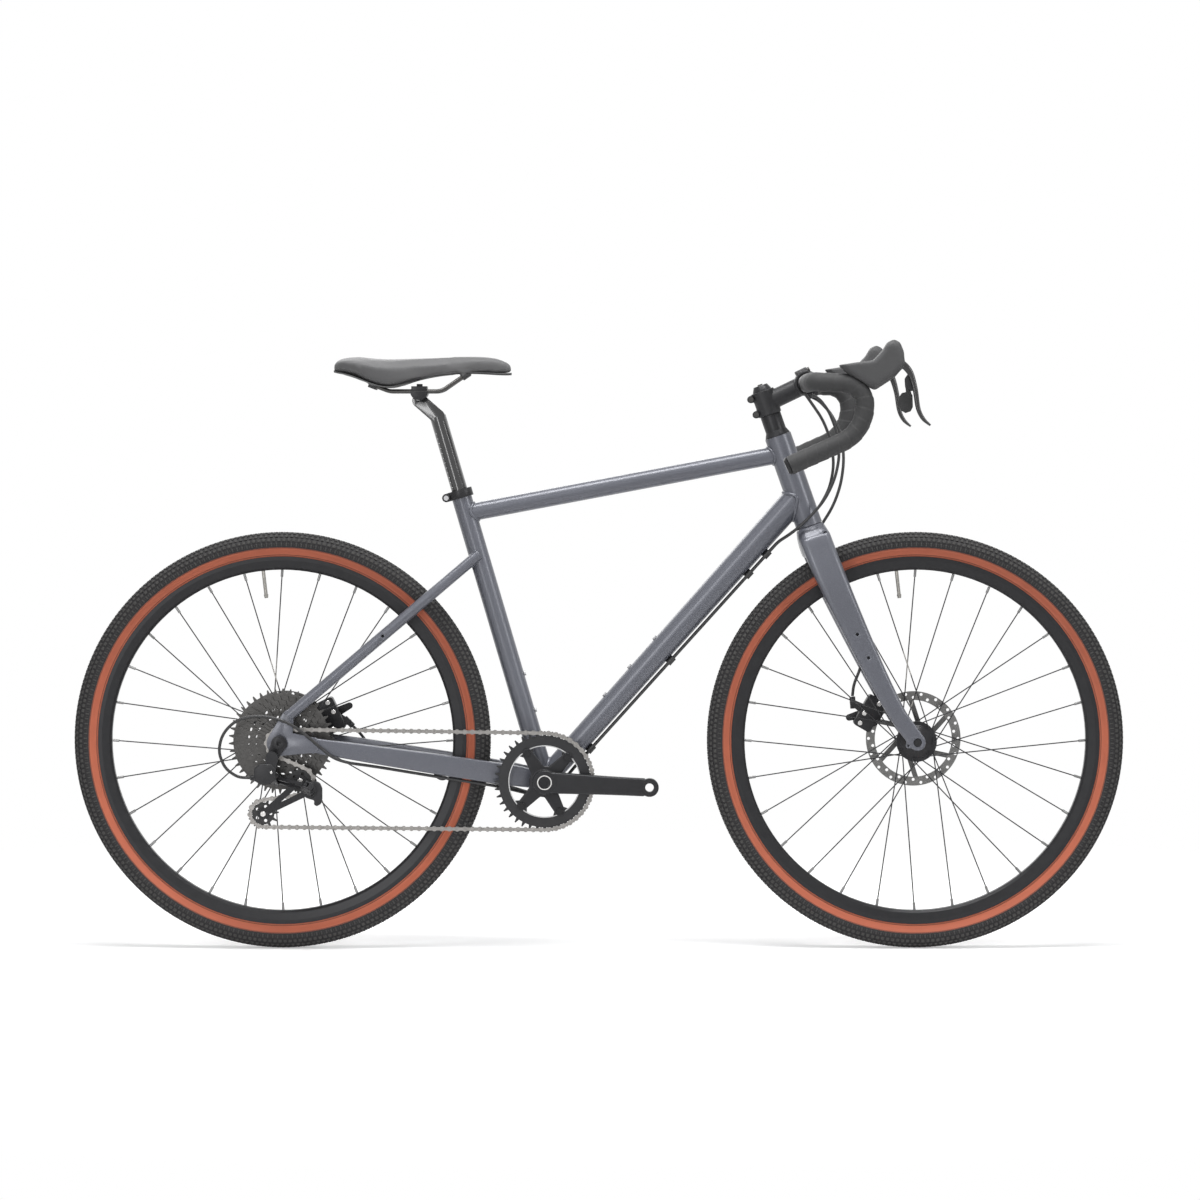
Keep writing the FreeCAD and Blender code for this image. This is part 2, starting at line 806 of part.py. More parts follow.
def make_collar_and_post():
    """The seat collar, its bolt and the seatpost with its slanted head."""
    collar_low = seat_top - seat_up * (collar_height / 2)
    collar_high = seat_top + seat_up * (collar_height / 2)
    lug_centre = seat_top - seat_ahead * (collar_radius + collar_lug_reach / 2)
    ring = rod(collar_low, collar_high, collar_radius)
    lug = link_plate(seat_top - LEFT * collar_lug_half_width, collar_lug_half_width,
                     lug_centre - LEFT * collar_lug_half_width, collar_height / 2,
                     LEFT * (2 * collar_lug_half_width))
    collar = joined([ring, lug])
    collar = collar.cut(rod(collar_low - seat_up * cut_overrun, seat_top, seat_tube_radius))
    collar = collar.cut(rod(collar_low - seat_up * cut_overrun, collar_high + seat_up * cut_overrun,
                            post_radius + shaft_gap))
    slit = Part.makeBox(collar_radius + 2 * collar_lug_reach, collar_slit,
                        2 * collar_height + 2 * cut_overrun)
    slit.translate(V(-collar_radius - 2 * collar_lug_reach, -collar_slit / 2, -collar_height - cut_overrun))
    slit.Placement = FreeCAD.Placement(seat_top,
                                       FreeCAD.Rotation(LEFT, seat_angle - 90)).multiply(slit.Placement)
    head_face = collar_lug_half_width
    bolt = disc(lug_centre, collar_bolt_radius, -head_face, head_face)
    bolt = bolt.fuse(disc(lug_centre, collar_bolt_head_radius, -head_face - collar_bolt_head_height,
                          -head_face))
    nodes["seat_collar"] = collar.cut(slit).cut(disc(lug_centre, collar_bolt_radius, -head_face, head_face))

    post_low = seat_top - seat_up * post_insertion
    post_high = bracket + seat_up * post_top_height
    tilt_centre = post_high + V(-cradle_setback, 0, cradle_rise)
    head_top = tilt_centre - UP * (cradle_radius + running_gap)
    tube = rod(post_low, post_high - seat_up * post_head_radius, post_radius)
    width = LEFT * (2 * post_head_half_width)
    side = LEFT * -post_head_half_width
    neck = link_plate(post_high - seat_up * post_head_radius + side, post_head_radius, head_top + side,
                      post_head_radius, width)
    post = joined([tube, neck])
    post = post.cut(disc(tilt_centre, cradle_radius + running_gap, -cradle_half_width, cradle_half_width))
    bore_high = post_high - seat_up * (2 * post_head_radius)
    nodes["seatpost"] = post.cut(rod(post_low, bore_high, post_radius - post_wall))
    return bolt, tilt_centre


def make_cradle(tilt_centre):
    """The two halves of the rail clamp and its bolt."""
    lower = disc(tilt_centre, cradle_radius, -cradle_half_width, cradle_half_width)
    span = V(2 * cradle_half_length, 2 * cradle_half_width, cradle_radius + cut_overrun)
    above = Part.makeBox(2 * cradle_radius, span.y, span.z,
                         tilt_centre - V(cradle_radius, cradle_half_width, running_gap))
    lower = lower.cut(above)
    upper = Part.makeBox(span.x, span.y, cradle_plate_height,
                         tilt_centre - V(cradle_half_length, cradle_half_width, -running_gap))
    bolt_low = tilt_centre - UP * (cradle_radius - running_gap)
    bolt_high = tilt_centre + UP * (running_gap + cradle_plate_height)
    bolt = rod(bolt_low, bolt_high, cradle_bolt_radius)
    shank = bolt
    bolt = bolt.fuse(rod(bolt_high, bolt_high + UP * cradle_bolt_head_height, cradle_bolt_head_radius))
    halves = []
    for half in (lower, upper):
        for side in (-1, 1):
            rail_line = tilt_centre + LEFT * (side * rail_half_spacing)
            reach = FORWARD * (cradle_radius + cut_overrun)
            half = half.cut(rod(rail_line - reach, rail_line + reach, rail_radius + shaft_gap))
        halves.append(half.cut(shank))
    nodes["saddle_clamp"] = Part.makeCompound(halves + [bolt])


def saddle_section(index, tilt_centre, base_drop):
    """Corner points of one cross-section of the saddle: foot, flank, shoulder and crown."""
    place = tilt_centre.x - saddle_rear_overhang + saddle_length * saddle_station_shares[index]
    half = saddle_half_width * saddle_width_shares[index]
    top = tilt_centre.z + saddle_rise * saddle_top_shares[index]
    foot = tilt_centre.z + saddle_rise * saddle_flank_shares[index] + base_drop
    shoulder = top - (top - foot) * saddle_crown_share
    flank = (shoulder + foot) / 2
    return place, half, top, foot, shoulder, flank


def make_saddle(tilt_centre):
    """Rails, a thin base and the padded top with a crown and drawn-in sides."""
    pads = []
    bases = []
    for index in range(len(saddle_station_shares)):
        place, half, top, foot, shoulder, flank = saddle_section(index, tilt_centre, 0)
        tuck = half * saddle_tuck_share
        corners = [V(place, -tuck, foot), V(place, -half * saddle_flank_share, flank),
                   V(place, -half, shoulder)]
        top_points = [corners[2], V(place, 0, top), V(place, half, shoulder)]
        right = [V(point.x, -point.y, point.z) for point in reversed(corners)]
        pads.append(Part.Wire([
            Part.Arc(*corners).toShape(), Part.Arc(*top_points).toShape(), Part.Arc(*right).toShape(),
            Part.LineSegment(right[2], corners[0]).toShape(),
        ]))
        base_half = tuck * saddle_tuck_share
        roof = foot - running_gap
        floor = roof - saddle_shell_thickness
        middle = (roof + floor) / 2
        bases.append(Part.makePolygon([
            V(place, -base_half, roof), V(place, -tuck, middle), V(place, -base_half, floor),
            V(place, base_half, floor), V(place, tuck, middle), V(place, base_half, roof),
            V(place, -base_half, roof),
        ]))
    base = Part.makeLoft(bases, True)
    nodes["saddle_pad"] = Part.makeLoft(pads, True)
    rails = []
    sockets = []
    for side in (-1, 1):
        line = tilt_centre + LEFT * (side * rail_half_spacing)
        rear = line - FORWARD * rail_straight_rear
        front = line + FORWARD * rail_straight_front
        rear_end = rear + V(-rail_rear_reach, 0, rail_rear_rise)
        front_end = front + V(rail_front_reach, side * (rail_front_half_spacing - rail_half_spacing),
                              rail_front_rise)
        rails.append(swept([rear_end, rear, front, front_end], [rail_bend_radius, rail_bend_radius],
                           rail_radius))
        for end, inward in ((rear_end, rear), (front_end, front)):
            run = unit(inward - end)
            sockets.append(rod(end - run * (rail_socket_length / 2), end + run * (rail_socket_length / 2),
                               rail_socket_radius).cut(nodes["saddle_pad"]))
    base = joined([base] + sockets)
    for rail in rails:
        base = base.cut(rail)
    nodes["saddle_rails"] = Part.makeCompound(rails)
    nodes["saddle_base"] = base


def make_fork():
    """Fork crown, legs, tips and eyelets in one piece with the steerer."""
    down = -steer_up
    reach = fork_length
    across = unit(LEFT)
    crown_sections = [
        rounded_section(crown_seat, across, steer_ahead, head_tube_radius, head_tube_radius,
                        head_tube_radius * leg_corner_share),
        rounded_section(crown_seat + down * crown_height, across, steer_ahead, crown_half_width,
                        crown_half_depth, crown_corner),
        rounded_section(crown_seat + down * (2 * crown_height), across, steer_ahead, crown_half_width,
                        crown_half_depth, crown_corner),
    ]
    crown = Part.makeLoft(crown_sections, True)
    skins = []
    for wall in (0, leg_wall):
        sections = []
        for index, share in enumerate(leg_drop_shares):
            centre = crown_seat + down * (reach * share) + steer_ahead * (fork_rake * leg_ahead_shares[index])
            centre = centre + LEFT * leg_offsets[index]
            width = leg_half_widths[index] - wall
            sections.append(rounded_section(centre, across, steer_ahead, width,
                                            leg_half_depths[index] - wall,
                                            width * leg_corner_share))
        skins.append(Part.makeLoft(sections, True))
    leg = skins[0]
    hollow = skins[1]
    foot = crown_seat + down * (reach * leg_drop_shares[-1]) + steer_ahead * (fork_rake * leg_ahead_shares[-1])
    face = front_hub_width / 2
    tip_thickness = LEFT * fork_tip_width
    base = LEFT * face
    tip = link_plate(foot + base, leg_half_depths[-1], front_axle + base, fork_tip_radius, tip_thickness)
    mudguard = front_axle - steer_ahead * mudguard_eyelet_reach
    tab = link_plate(front_axle + base, fork_eyelet_radius, mudguard + base, fork_eyelet_radius,
                     tip_thickness)
    tab = tab.cut(disc(mudguard, fork_eyelet_thread, face - cut_overrun,
                       face + fork_tip_width + cut_overrun))
    solids = [crown]
    for piece in (leg, joined([tip, tab])):
        solids += both_sides(piece)
    tyre_room = disc(front_axle, tyre_radius + cut_overrun, -leg_offsets[1] + leg_half_widths[1],
                     leg_offsets[1] - leg_half_widths[1])
    fork = joined(solids).cut(hollow).cut(mirrored(hollow)).cut(tyre_room)
    fork = fork.cut(disc(front_axle, axle_radius, -face - 2 * fork_tip_width, face + 2 * fork_tip_width))
    for drop in fork_eyelet_drops:
        place, outer = fork_leg_place(drop / fork_length)
        start = place + LEFT * outer
        thread = rod(start - LEFT * (2 * leg_wall), start + LEFT * cut_overrun, fork_eyelet_thread)
        fork = fork.cut(thread).cut(mirrored(thread))
    steerer = pipe(crown_seat, stem_high, steerer_radius, steerer_radius - steerer_wall)
    nodes["fork"] = joined([fork, steerer])


def fork_leg_place(share):
    """The leg's middle and outer face at a share of the fork's length, between its sections."""
    for index in range(len(leg_drop_shares) - 1):
        low, high = leg_drop_shares[index], leg_drop_shares[index + 1]
        if low <= share <= high:
            mix = (share - low) / (high - low)
            ahead = leg_ahead_shares[index] + (leg_ahead_shares[index + 1] - leg_ahead_shares[index]) * mix
            offset = leg_offsets[index] + (leg_offsets[index + 1] - leg_offsets[index]) * mix
            width = leg_half_widths[index] + (leg_half_widths[index + 1] - leg_half_widths[index]) * mix
            place = crown_seat - steer_up * (fork_length * share) + steer_ahead * (fork_rake * ahead)
            return place, offset + width
    raise ValueError("share outside the leg")


def make_cockpit_column():
    """Headset cover, spacer, top cap, stem, faceplate and their bolts."""
    cover = rod(cover_low, spacer_low, head_cover_radius, spacer_radius)
    cover = cover.cut(rod(cover_low, spacer_low, steerer_radius))
    spacer = pipe(spacer_low, stem_low, spacer_radius, steerer_radius)
    cap = rod(stem_high, stem_high + steer_up * top_cap_height, top_cap_radius,
              top_cap_radius - top_cap_height / 2)
    nodes["headset_spacers"] = Part.makeCompound([cover, spacer, cap])

    clamp = rod(stem_low, stem_high, stem_clamp_radius)
    body = rod(stem_middle, bar_centre, stem_body_radius)
    grip = disc(bar_centre, bar_clamp_radius, -bar_clamp_half_width, bar_clamp_half_width)
    trim = rod(stem_low - steer_up * (2 * stem_clamp_height), stem_low, 2 * stem_clamp_radius)
    trim_high = rod(stem_high, stem_high + steer_up * (2 * stem_clamp_height), 2 * stem_clamp_radius)
    ears = []
    bolts = []
    for rise in (-face_bolt_rise, face_bolt_rise):
        for side in (-face_bolt_side, face_bolt_side):
            line = bar_centre + stem_up * rise + LEFT * side
            ears.append(rod(line - stem_ahead * face_ear_depth, line + stem_ahead * face_ear_depth,
                            face_ear_radius))
            front = line + stem_ahead * face_ear_depth
            shank = rod(line - stem_ahead * face_ear_depth, front, face_bolt_radius)
            head = rod(front, front + stem_ahead * face_bolt_head_height, face_bolt_head_radius)
            bolts.append((shank, shank.fuse(head)))
    pinch_lines = []
    lugs = []
    for spread in (-pinch_bolt_spread / 2, pinch_bolt_spread / 2):
        line = stem_middle - steer_ahead * pinch_bolt_place + steer_up * spread
        root = line + steer_ahead * pinch_bolt_place - LEFT * pinch_block_half_width
        lugs.append(link_plate(root, pinch_lug_radius + running_gap, line - LEFT * pinch_block_half_width,
                               pinch_lug_radius, LEFT * (2 * pinch_block_half_width)))
        shank = disc(line, face_bolt_radius, -pinch_block_half_width, pinch_block_half_width)
        head = disc(line, face_bolt_head_radius, -pinch_block_half_width - face_bolt_head_height,
                    -pinch_block_half_width)
        pinch_lines.append((shank, shank.fuse(head)))
    stem = joined([clamp, body, grip] + lugs + ears).cut(trim).cut(trim_high)
    bar_hole = disc(bar_centre, bar_centre_radius, -2 * bar_clamp_half_width, 2 * bar_clamp_half_width)
    stem = stem.cut(rod(stem_low, stem_high, steerer_radius)).cut(bar_hole)
    for shank, bolt in bolts + pinch_lines:
        stem = stem.cut(bolt)
    size = 4 * bar_clamp_radius
    rear_gap = Part.makeBox(faceplate_gap, size, size, V(-faceplate_gap / 2, -size / 2, -size / 2))
    rear_gap.Placement = FreeCAD.Placement(bar_centre, FreeCAD.Rotation(LEFT, stem_tilt())).multiply(
        rear_gap.Placement)
    slit = Part.makeBox(pinch_block_reach * 2, pinch_slit, stem_clamp_height * 2)
    slit.translate(V(-2 * pinch_block_reach, -pinch_slit / 2, -stem_clamp_height))
    slit.Placement = FreeCAD.Placement(stem_middle,
                                       FreeCAD.Rotation(LEFT, head_angle - 90)).multiply(slit.Placement)
    face_box = Part.makeBox(size, size, size, V(0, -size / 2, -size / 2))
    face_box.Placement = FreeCAD.Placement(bar_centre, FreeCAD.Rotation(LEFT, stem_tilt())).multiply(
        face_box.Placement)
    nodes["stem"] = Part.makeCompound([stem.cut(face_box).cut(rear_gap).cut(slit),
                                       stem.common(face_box).cut(rear_gap)])
    cap_high = stem_high + steer_up * top_cap_height
    cap_bolt = rod(cap_high, cap_high + steer_up * (face_bolt_head_height / 2), face_bolt_head_radius)
    nodes["stem_bolts"] = Part.makeCompound([bolt for shank, bolt in bolts + pinch_lines] + [cap_bolt])


def stem_tilt():
    """The angle about Y that carries +X onto the stem's direction."""
    return -math.degrees(math.atan2(stem_ahead.z, stem_ahead.x))


def bar_points(side):
    """Corners of one half of the handlebar, from the clamp outwards."""
    corner = bar_centre + LEFT * (side * bar_half_width)
    ramp = corner + V(bar_reach, 0, -bar_ramp_drop)
    hook = ramp - UP * bar_hook_drop
    tail = hook - V(bar_tail_reach, 0, bar_tail_drop)
    return [corner, ramp, hook, tail]


def make_bar():
    """Handlebar, tape and end plugs."""
    right = bar_points(-1)
    left = bar_points(1)
    bends = [bar_hook_bend, bar_ramp_bend, bar_corner_bend]
    whole = right[::-1] + left
    outer = swept(whole, bends + bends[::-1], bar_radius)
    inner = swept(whole, bends + bends[::-1], bar_radius - bar_wall)
    centre_low = bar_centre - LEFT * bar_centre_half_width
    centre_high = bar_centre + LEFT * bar_centre_half_width
    sleeve = [rod(centre_low, centre_high, bar_centre_radius)]
    for side, start in ((-1, centre_low), (1, centre_high)):
        sleeve.append(rod(start, bar_centre + LEFT * (side * bar_taper_half_width), bar_centre_radius,
                          bar_radius))
    bar = joined([outer] + sleeve).cut(inner)
    tapes = []
    plugs = []
    for side, corners in ((-1, right), (1, left)):
        start = bar_centre + LEFT * (side * tape_start)
        wrap = swept([start] + corners, bends[::-1], bar_radius + tape_thickness)
        tapes.append(wrap.cut(outer))
        tail_run = unit(corners[3] - corners[2])
        plugs.append(rod(corners[3], corners[3] + tail_run * plug_length, bar_radius + tape_thickness,
                         bar_radius))
    nodes["bar_tape"] = Part.makeCompound(tapes)
    nodes["handlebar"] = Part.makeCompound([bar] + plugs)
    return outer, tapes


def lever_pivot(side):
    """The pivot of a brake lever."""
    return bar_points(side)[1] + V(hood_pivot_ahead, 0, hood_pivot_rise)


def make_levers(bar, tapes):
    """Hoods with their pivot pins, brake levers and the shift paddle."""
    hoods = []
    for side, tape in ((-1, tapes[0]), (1, tapes[1])):
        pivot = lever_pivot(side)
        outline = [V(along * hood_length, 0, rise * hood_height) for along, rise in hood_outline_shares]
        middle = outline[0]
        for point in outline[1:]:
            middle = middle + point
        middle = middle * (1 / len(outline))
        wires = []
        for offset, share in ((-hood_half_width, hood_side_share), (-hood_flat_half_width, 1),
                              (hood_flat_half_width, 1), (hood_half_width, hood_side_share)):
            points = [pivot + LEFT * offset + middle + (point - middle) * share for point in outline]
            wires.append(Part.makePolygon(points + points[:1]))
        hood = Part.makeLoft(wires, True, True)
        pocket = disc(pivot, lever_pocket_radius, -lever_half_width - running_gap,
                      lever_half_width + running_gap)
        hood = hood.cut(tape).cut(bar).cut(pocket)
        pin = disc(pivot, lever_pin_radius, -hood_flat_half_width, hood_flat_half_width)
        hoods.append(joined([hood, pin]))
        line = [pivot + V(along * lever_length, 0, rise * lever_length) for along, rise in lever_line_shares]
        near = []
        far = []
        for index, point in enumerate(line):
            before = line[max(index - 1, 0)]
            after = line[min(index + 1, len(line) - 1)]
            across = turned(unit(after - before), LEFT, 90) * (lever_thickness_shares[index] * lever_length)
            near.append(point + across - LEFT * lever_half_width)
            far.append(point - across - LEFT * lever_half_width)
        blade = polygon_face(near + far[::-1]).extrude(LEFT * (2 * lever_half_width))
        root = disc(pivot, lever_root_radius, -lever_half_width, lever_half_width)
        lever = joined([root, blade])
        lever = lever.cut(disc(pivot, lever_pin_radius + shaft_gap, -hood_half_width, hood_half_width))
        nodes["right_brake_lever" if side < 0 else "left_brake_lever"] = lever
    nodes["lever_hoods"] = Part.makeCompound(hoods)

    pivot = lever_pivot(-1)
    inner_face = pivot + LEFT * (lever_half_width + running_gap)
    outline = [inner_face + V(along * paddle_length, paddle_plate_gap, rise * paddle_length)
               for along, rise in paddle_outline_shares]
    paddle = polygon_face(outline).extrude(LEFT * paddle_thickness)
    ends = [inner_face + V(along * paddle_length, paddle_hinge_radius, rise * paddle_length)
            for along, rise in paddle_hinge_shares]
    nodes["shift_paddle"] = joined([paddle, rod(ends[0], ends[1], paddle_hinge_radius)])
    print("paddle hinge", ends)


def make_rim_and_tyre(name, centre):
    """A hollow rim and an open-bellied tyre, both turned about the axle."""
    half = rim_half_width
    floor = rim_edge_radius - rim_floor_drop
    shoulder = rim_inner_radius + rim_shoulder_height
    knee = rim_bed_half_width + rim_shoulder_height * rim_half_width / rim_floor_drop / 2
    outline = [
        (rim_edge_radius, -half), (floor, -half), (shoulder, -knee), (rim_inner_radius, -rim_bed_half_width),
        (rim_inner_radius, rim_bed_half_width), (shoulder, knee), (floor, half), (rim_edge_radius, half),
        (rim_edge_radius, half - rim_lip), (floor, half - rim_lip), (floor, rim_lip - half),
        (rim_edge_radius, rim_lip - half),
    ]
    cavity = [
        (floor - rim_wall, rim_lip - half), (shoulder + rim_wall, 2 * rim_wall - knee),
        (rim_inner_radius + rim_wall, rim_wall - rim_bed_half_width),
        (rim_inner_radius + rim_wall, rim_bed_half_width - rim_wall),
        (shoulder + rim_wall, knee - 2 * rim_wall), (floor - rim_wall, half - rim_lip),
    ]
    wires = []
    for profile in (outline, cavity):
        points = [centre + V(radius, offset, 0) for radius, offset in profile]
        wires.append(Part.makePolygon(points + points[:1]))
    face = Part.Face(wires[0]).cut(Part.Face(wires[1]))
    nodes[name + "_rim"] = face.Faces[0].revolve(centre, LEFT, FULL_TURN)

    def place(radius, offset):
        return centre + V(radius, offset, 0)

    bead = half - rim_lip - tyre_bead_gap
    bead_low = rim_edge_radius - tyre_bead_height
    belly = tyre_radius - tyre_half_width
    lip = rim_edge_radius + tyre_bead_gap
    slant = tyre_half_width * math.sqrt(0.5)
    inner_belly = tyre_half_width - tyre_wall
    inner_slant = inner_belly * math.sqrt(0.5)
    flank = (lip + belly) / 2
    flank_out = (bead + 2 * tyre_half_width) / 3
    points = {
        "outer": [place(bead_low, bead), place(lip, bead), place(belly, tyre_half_width)],
        "inner": [place(bead_low, bead - tyre_wall), place(lip, bead - tyre_wall),
                  place(belly, inner_belly)],
    }

    def swapped(point):
        return V(point.x, -point.y, point.z)

    outer = points["outer"]
    inner = points["inner"]
    flank_outer = place(flank, flank_out)
    flank_inner = place(flank, flank_out - tyre_wall)
    crown_outer = place(tyre_radius, 0)
    crown_inner = place(tyre_radius - tyre_wall, 0)
    shoulder_outer = place(belly + slant, slant)
    shoulder_inner = place(belly + inner_slant, inner_slant)
    half_edges = [
        Part.LineSegment(outer[0], outer[1]), Part.Arc(outer[1], flank_outer, outer[2]),
        Part.Arc(outer[2], shoulder_outer, crown_outer),
        Part.Arc(crown_outer, swapped(shoulder_outer), swapped(outer[2])),
        Part.Arc(swapped(outer[2]), swapped(flank_outer), swapped(outer[1])),
        Part.LineSegment(swapped(outer[1]), swapped(outer[0])),
        Part.LineSegment(swapped(outer[0]), swapped(inner[0])),
        Part.LineSegment(swapped(inner[0]), swapped(inner[1])),
        Part.Arc(swapped(inner[1]), swapped(flank_inner), swapped(inner[2])),
        Part.Arc(swapped(inner[2]), swapped(shoulder_inner), crown_inner),
        Part.Arc(crown_inner, shoulder_inner, inner[2]), Part.Arc(inner[2], flank_inner, inner[1]),
        Part.LineSegment(inner[1], inner[0]), Part.LineSegment(inner[0], outer[0]),
    ]
    wire = Part.Wire([edge.toShape() for edge in half_edges])
    nodes[name + "_tyre"] = Part.Face(wire).revolve(centre, LEFT, FULL_TURN)


def make_hub(name, centre, width, flanges, radii, rotor_offset, right_end):
    """A hub shell with two flanges, a rotor seat and a bearing at each end."""
    right, left = flanges
    right_radius, left_radius = radii
    thick = hub_flange_thickness / 2
    end = width / 2 - running_gap
    waist = hub_core_radius
    seat = rotor_offset - rotor_thickness / 2
    seat_end = rotor_offset + rotor_thickness / 2
    profile = [
        (hub_bore, right_end), (waist + hub_flange_thickness, right_end),
        (right_radius - 2 * spoke_hole_inset, right - thick), (right_radius, right - thick),
        (right_radius, right + thick), (right_radius - 2 * spoke_hole_inset, right + thick),
        (waist + hub_flange_thickness, right + 2 * hub_flange_thickness),
        (waist, right + 4 * hub_flange_thickness), (waist, left - 4 * hub_flange_thickness),
        (waist + hub_flange_thickness, left - 2 * hub_flange_thickness),
        (left_radius - 2 * spoke_hole_inset, left - thick), (left_radius, left - thick),
        (left_radius, left + thick), (left_radius - 2 * spoke_hole_inset, left + thick),
        (hub_rotor_seat_radius + rotor_lock_height, left + 2 * hub_flange_thickness),
        (hub_rotor_seat_radius + rotor_lock_height, seat), (hub_rotor_seat_radius, seat),
        (hub_rotor_seat_radius, seat_end), (hub_end_radius, seat_end), (hub_end_radius, end),
        (hub_bore, end),
    ]
    solids = [lathe(profile, centre)]
    for start, finish in ((right_end, right_end + hub_bearing_width), (end - hub_bearing_width, end)):
        ring = disc(centre, hub_bore, start, finish)
        solids.append(ring.cut(disc(centre, axle_radius + shaft_gap, start, finish)))
    nodes[name + "_hub"] = Part.makeCompound(solids)


def make_spokes(name, centre, flanges, radii):
    """Crossed spokes with their nipples, and the valve."""
    solids = []
    per_side = spoke_count // 2
    step = FULL_TURN / per_side
    for side, flange, flange_radius in ((-1, flanges[0], radii[0]), (1, flanges[1], radii[1])):
        hole_radius = flange_radius - spoke_hole_inset
        for index in range(per_side):
            rim_angle = step * index + (step / 2 if side > 0 else 0)
            lead = 1 if index % 2 else -1
            hub_angle = rim_angle + lead * spoke_crosses * step
            face = hub_flange_thickness / 2 + spoke_radius + spoke_flange_gap
            start = centre + polar(hole_radius, hub_angle, flange + lead * face)
            seat = centre + polar(rim_inner_radius, rim_angle, side * spoke_rim_offset)
            along = unit(seat - start)
            neck = seat - along * nipple_length
            tip = seat - along * running_gap
            solids.append(rod(start, neck, spoke_radius))
            solids.append(rod(neck, tip, nipple_radius))
    valve_angle = 90 + valve_lead
    root = centre + polar(rim_inner_radius - running_gap / 2, valve_angle, 0)
    inward = unit(centre - root)
    end = root + inward * valve_length
    solids.append(rod(root, end, valve_radius))
    solids.append(rod(end, end + inward * valve_cap_length, valve_cap_radius, valve_radius))
    nodes[name + "_spokes"] = Part.makeCompound(solids)


def polar(radius, angle, offset):
    """A place on a circle about the Y axis: angle from forward, turning up, and offset to the left."""
    turn = math.radians(angle)
    return V(radius * math.cos(turn), offset, radius * math.sin(turn))


def make_rotor(name, centre, offset):
    """A drilled brake rotor on swept arms, with its lockring."""
    start = offset - rotor_thickness / 2
    end = offset + rotor_thickness / 2
    inner = rotor_radius - rotor_band
    band = disc(centre, rotor_radius, start, end).cut(disc(centre, inner, start, end))
    hub = disc(centre, rotor_hub_radius, start, end)
    pieces = [band, hub]
    thickness = LEFT * rotor_thickness
    for index in range(rotor_arm_count):
        angle = FULL_TURN * index / rotor_arm_count
        root = centre + polar(rotor_hub_radius - rotor_arm_radius, angle, start)
        tip = centre + polar(inner + rotor_arm_radius / 2, angle + rotor_arm_sweep, start)
        pieces.append(link_plate(root, rotor_arm_radius, tip, rotor_arm_radius, thickness))
    rotor = joined(pieces).cut(disc(centre, hub_rotor_seat_radius, start, end))
    holes = []
    for index in range(rotor_hole_count):
        row = rotor_hole_inset + rotor_hole_spacing * (index % 2)
        place = polar(rotor_radius - row, FULL_TURN * index / rotor_hole_count, 0)
        holes.append(disc(centre + place, rotor_hole_radius, start - cut_overrun, end + cut_overrun))
    rotor = rotor.cut(Part.makeCompound(holes))
    lock = disc(centre, rotor_lock_radius, end, end + rotor_lock_height)
    lock = lock.cut(disc(centre, hub_end_radius, end, end + rotor_lock_height))
    nodes[name + "_rotor"] = Part.makeCompound([rotor, lock])


def make_wheels():
    """Both wheels."""
    front_flanges = (front_flange_right, front_flange_left)
    front_radii = (front_flange_right_radius, front_flange_left_radius)
    rear_flanges = (rear_flange_right, rear_flange_left)
    rear_radii = (rear_flange_right_radius, rear_flange_left_radius)
    front_end = running_gap - front_hub_width / 2
    rear_end = rear_flange_right - hub_flange_thickness
    for name, centre in (("front", front_axle), ("rear", rear_axle)):
        make_rim_and_tyre(name, centre)
    make_hub("front", front_axle, front_hub_width, front_flanges, front_radii, front_rotor_offset, front_end)
    make_hub("rear", rear_axle, rear_hub_width, rear_flanges, rear_radii, rear_rotor_offset, rear_end)
    make_spokes("front", front_axle, front_flanges, front_radii)
    make_spokes("rear", rear_axle, rear_flanges, rear_radii)
    make_rotor("front", front_axle, front_rotor_offset)
    make_rotor("rear", rear_axle, rear_rotor_offset)


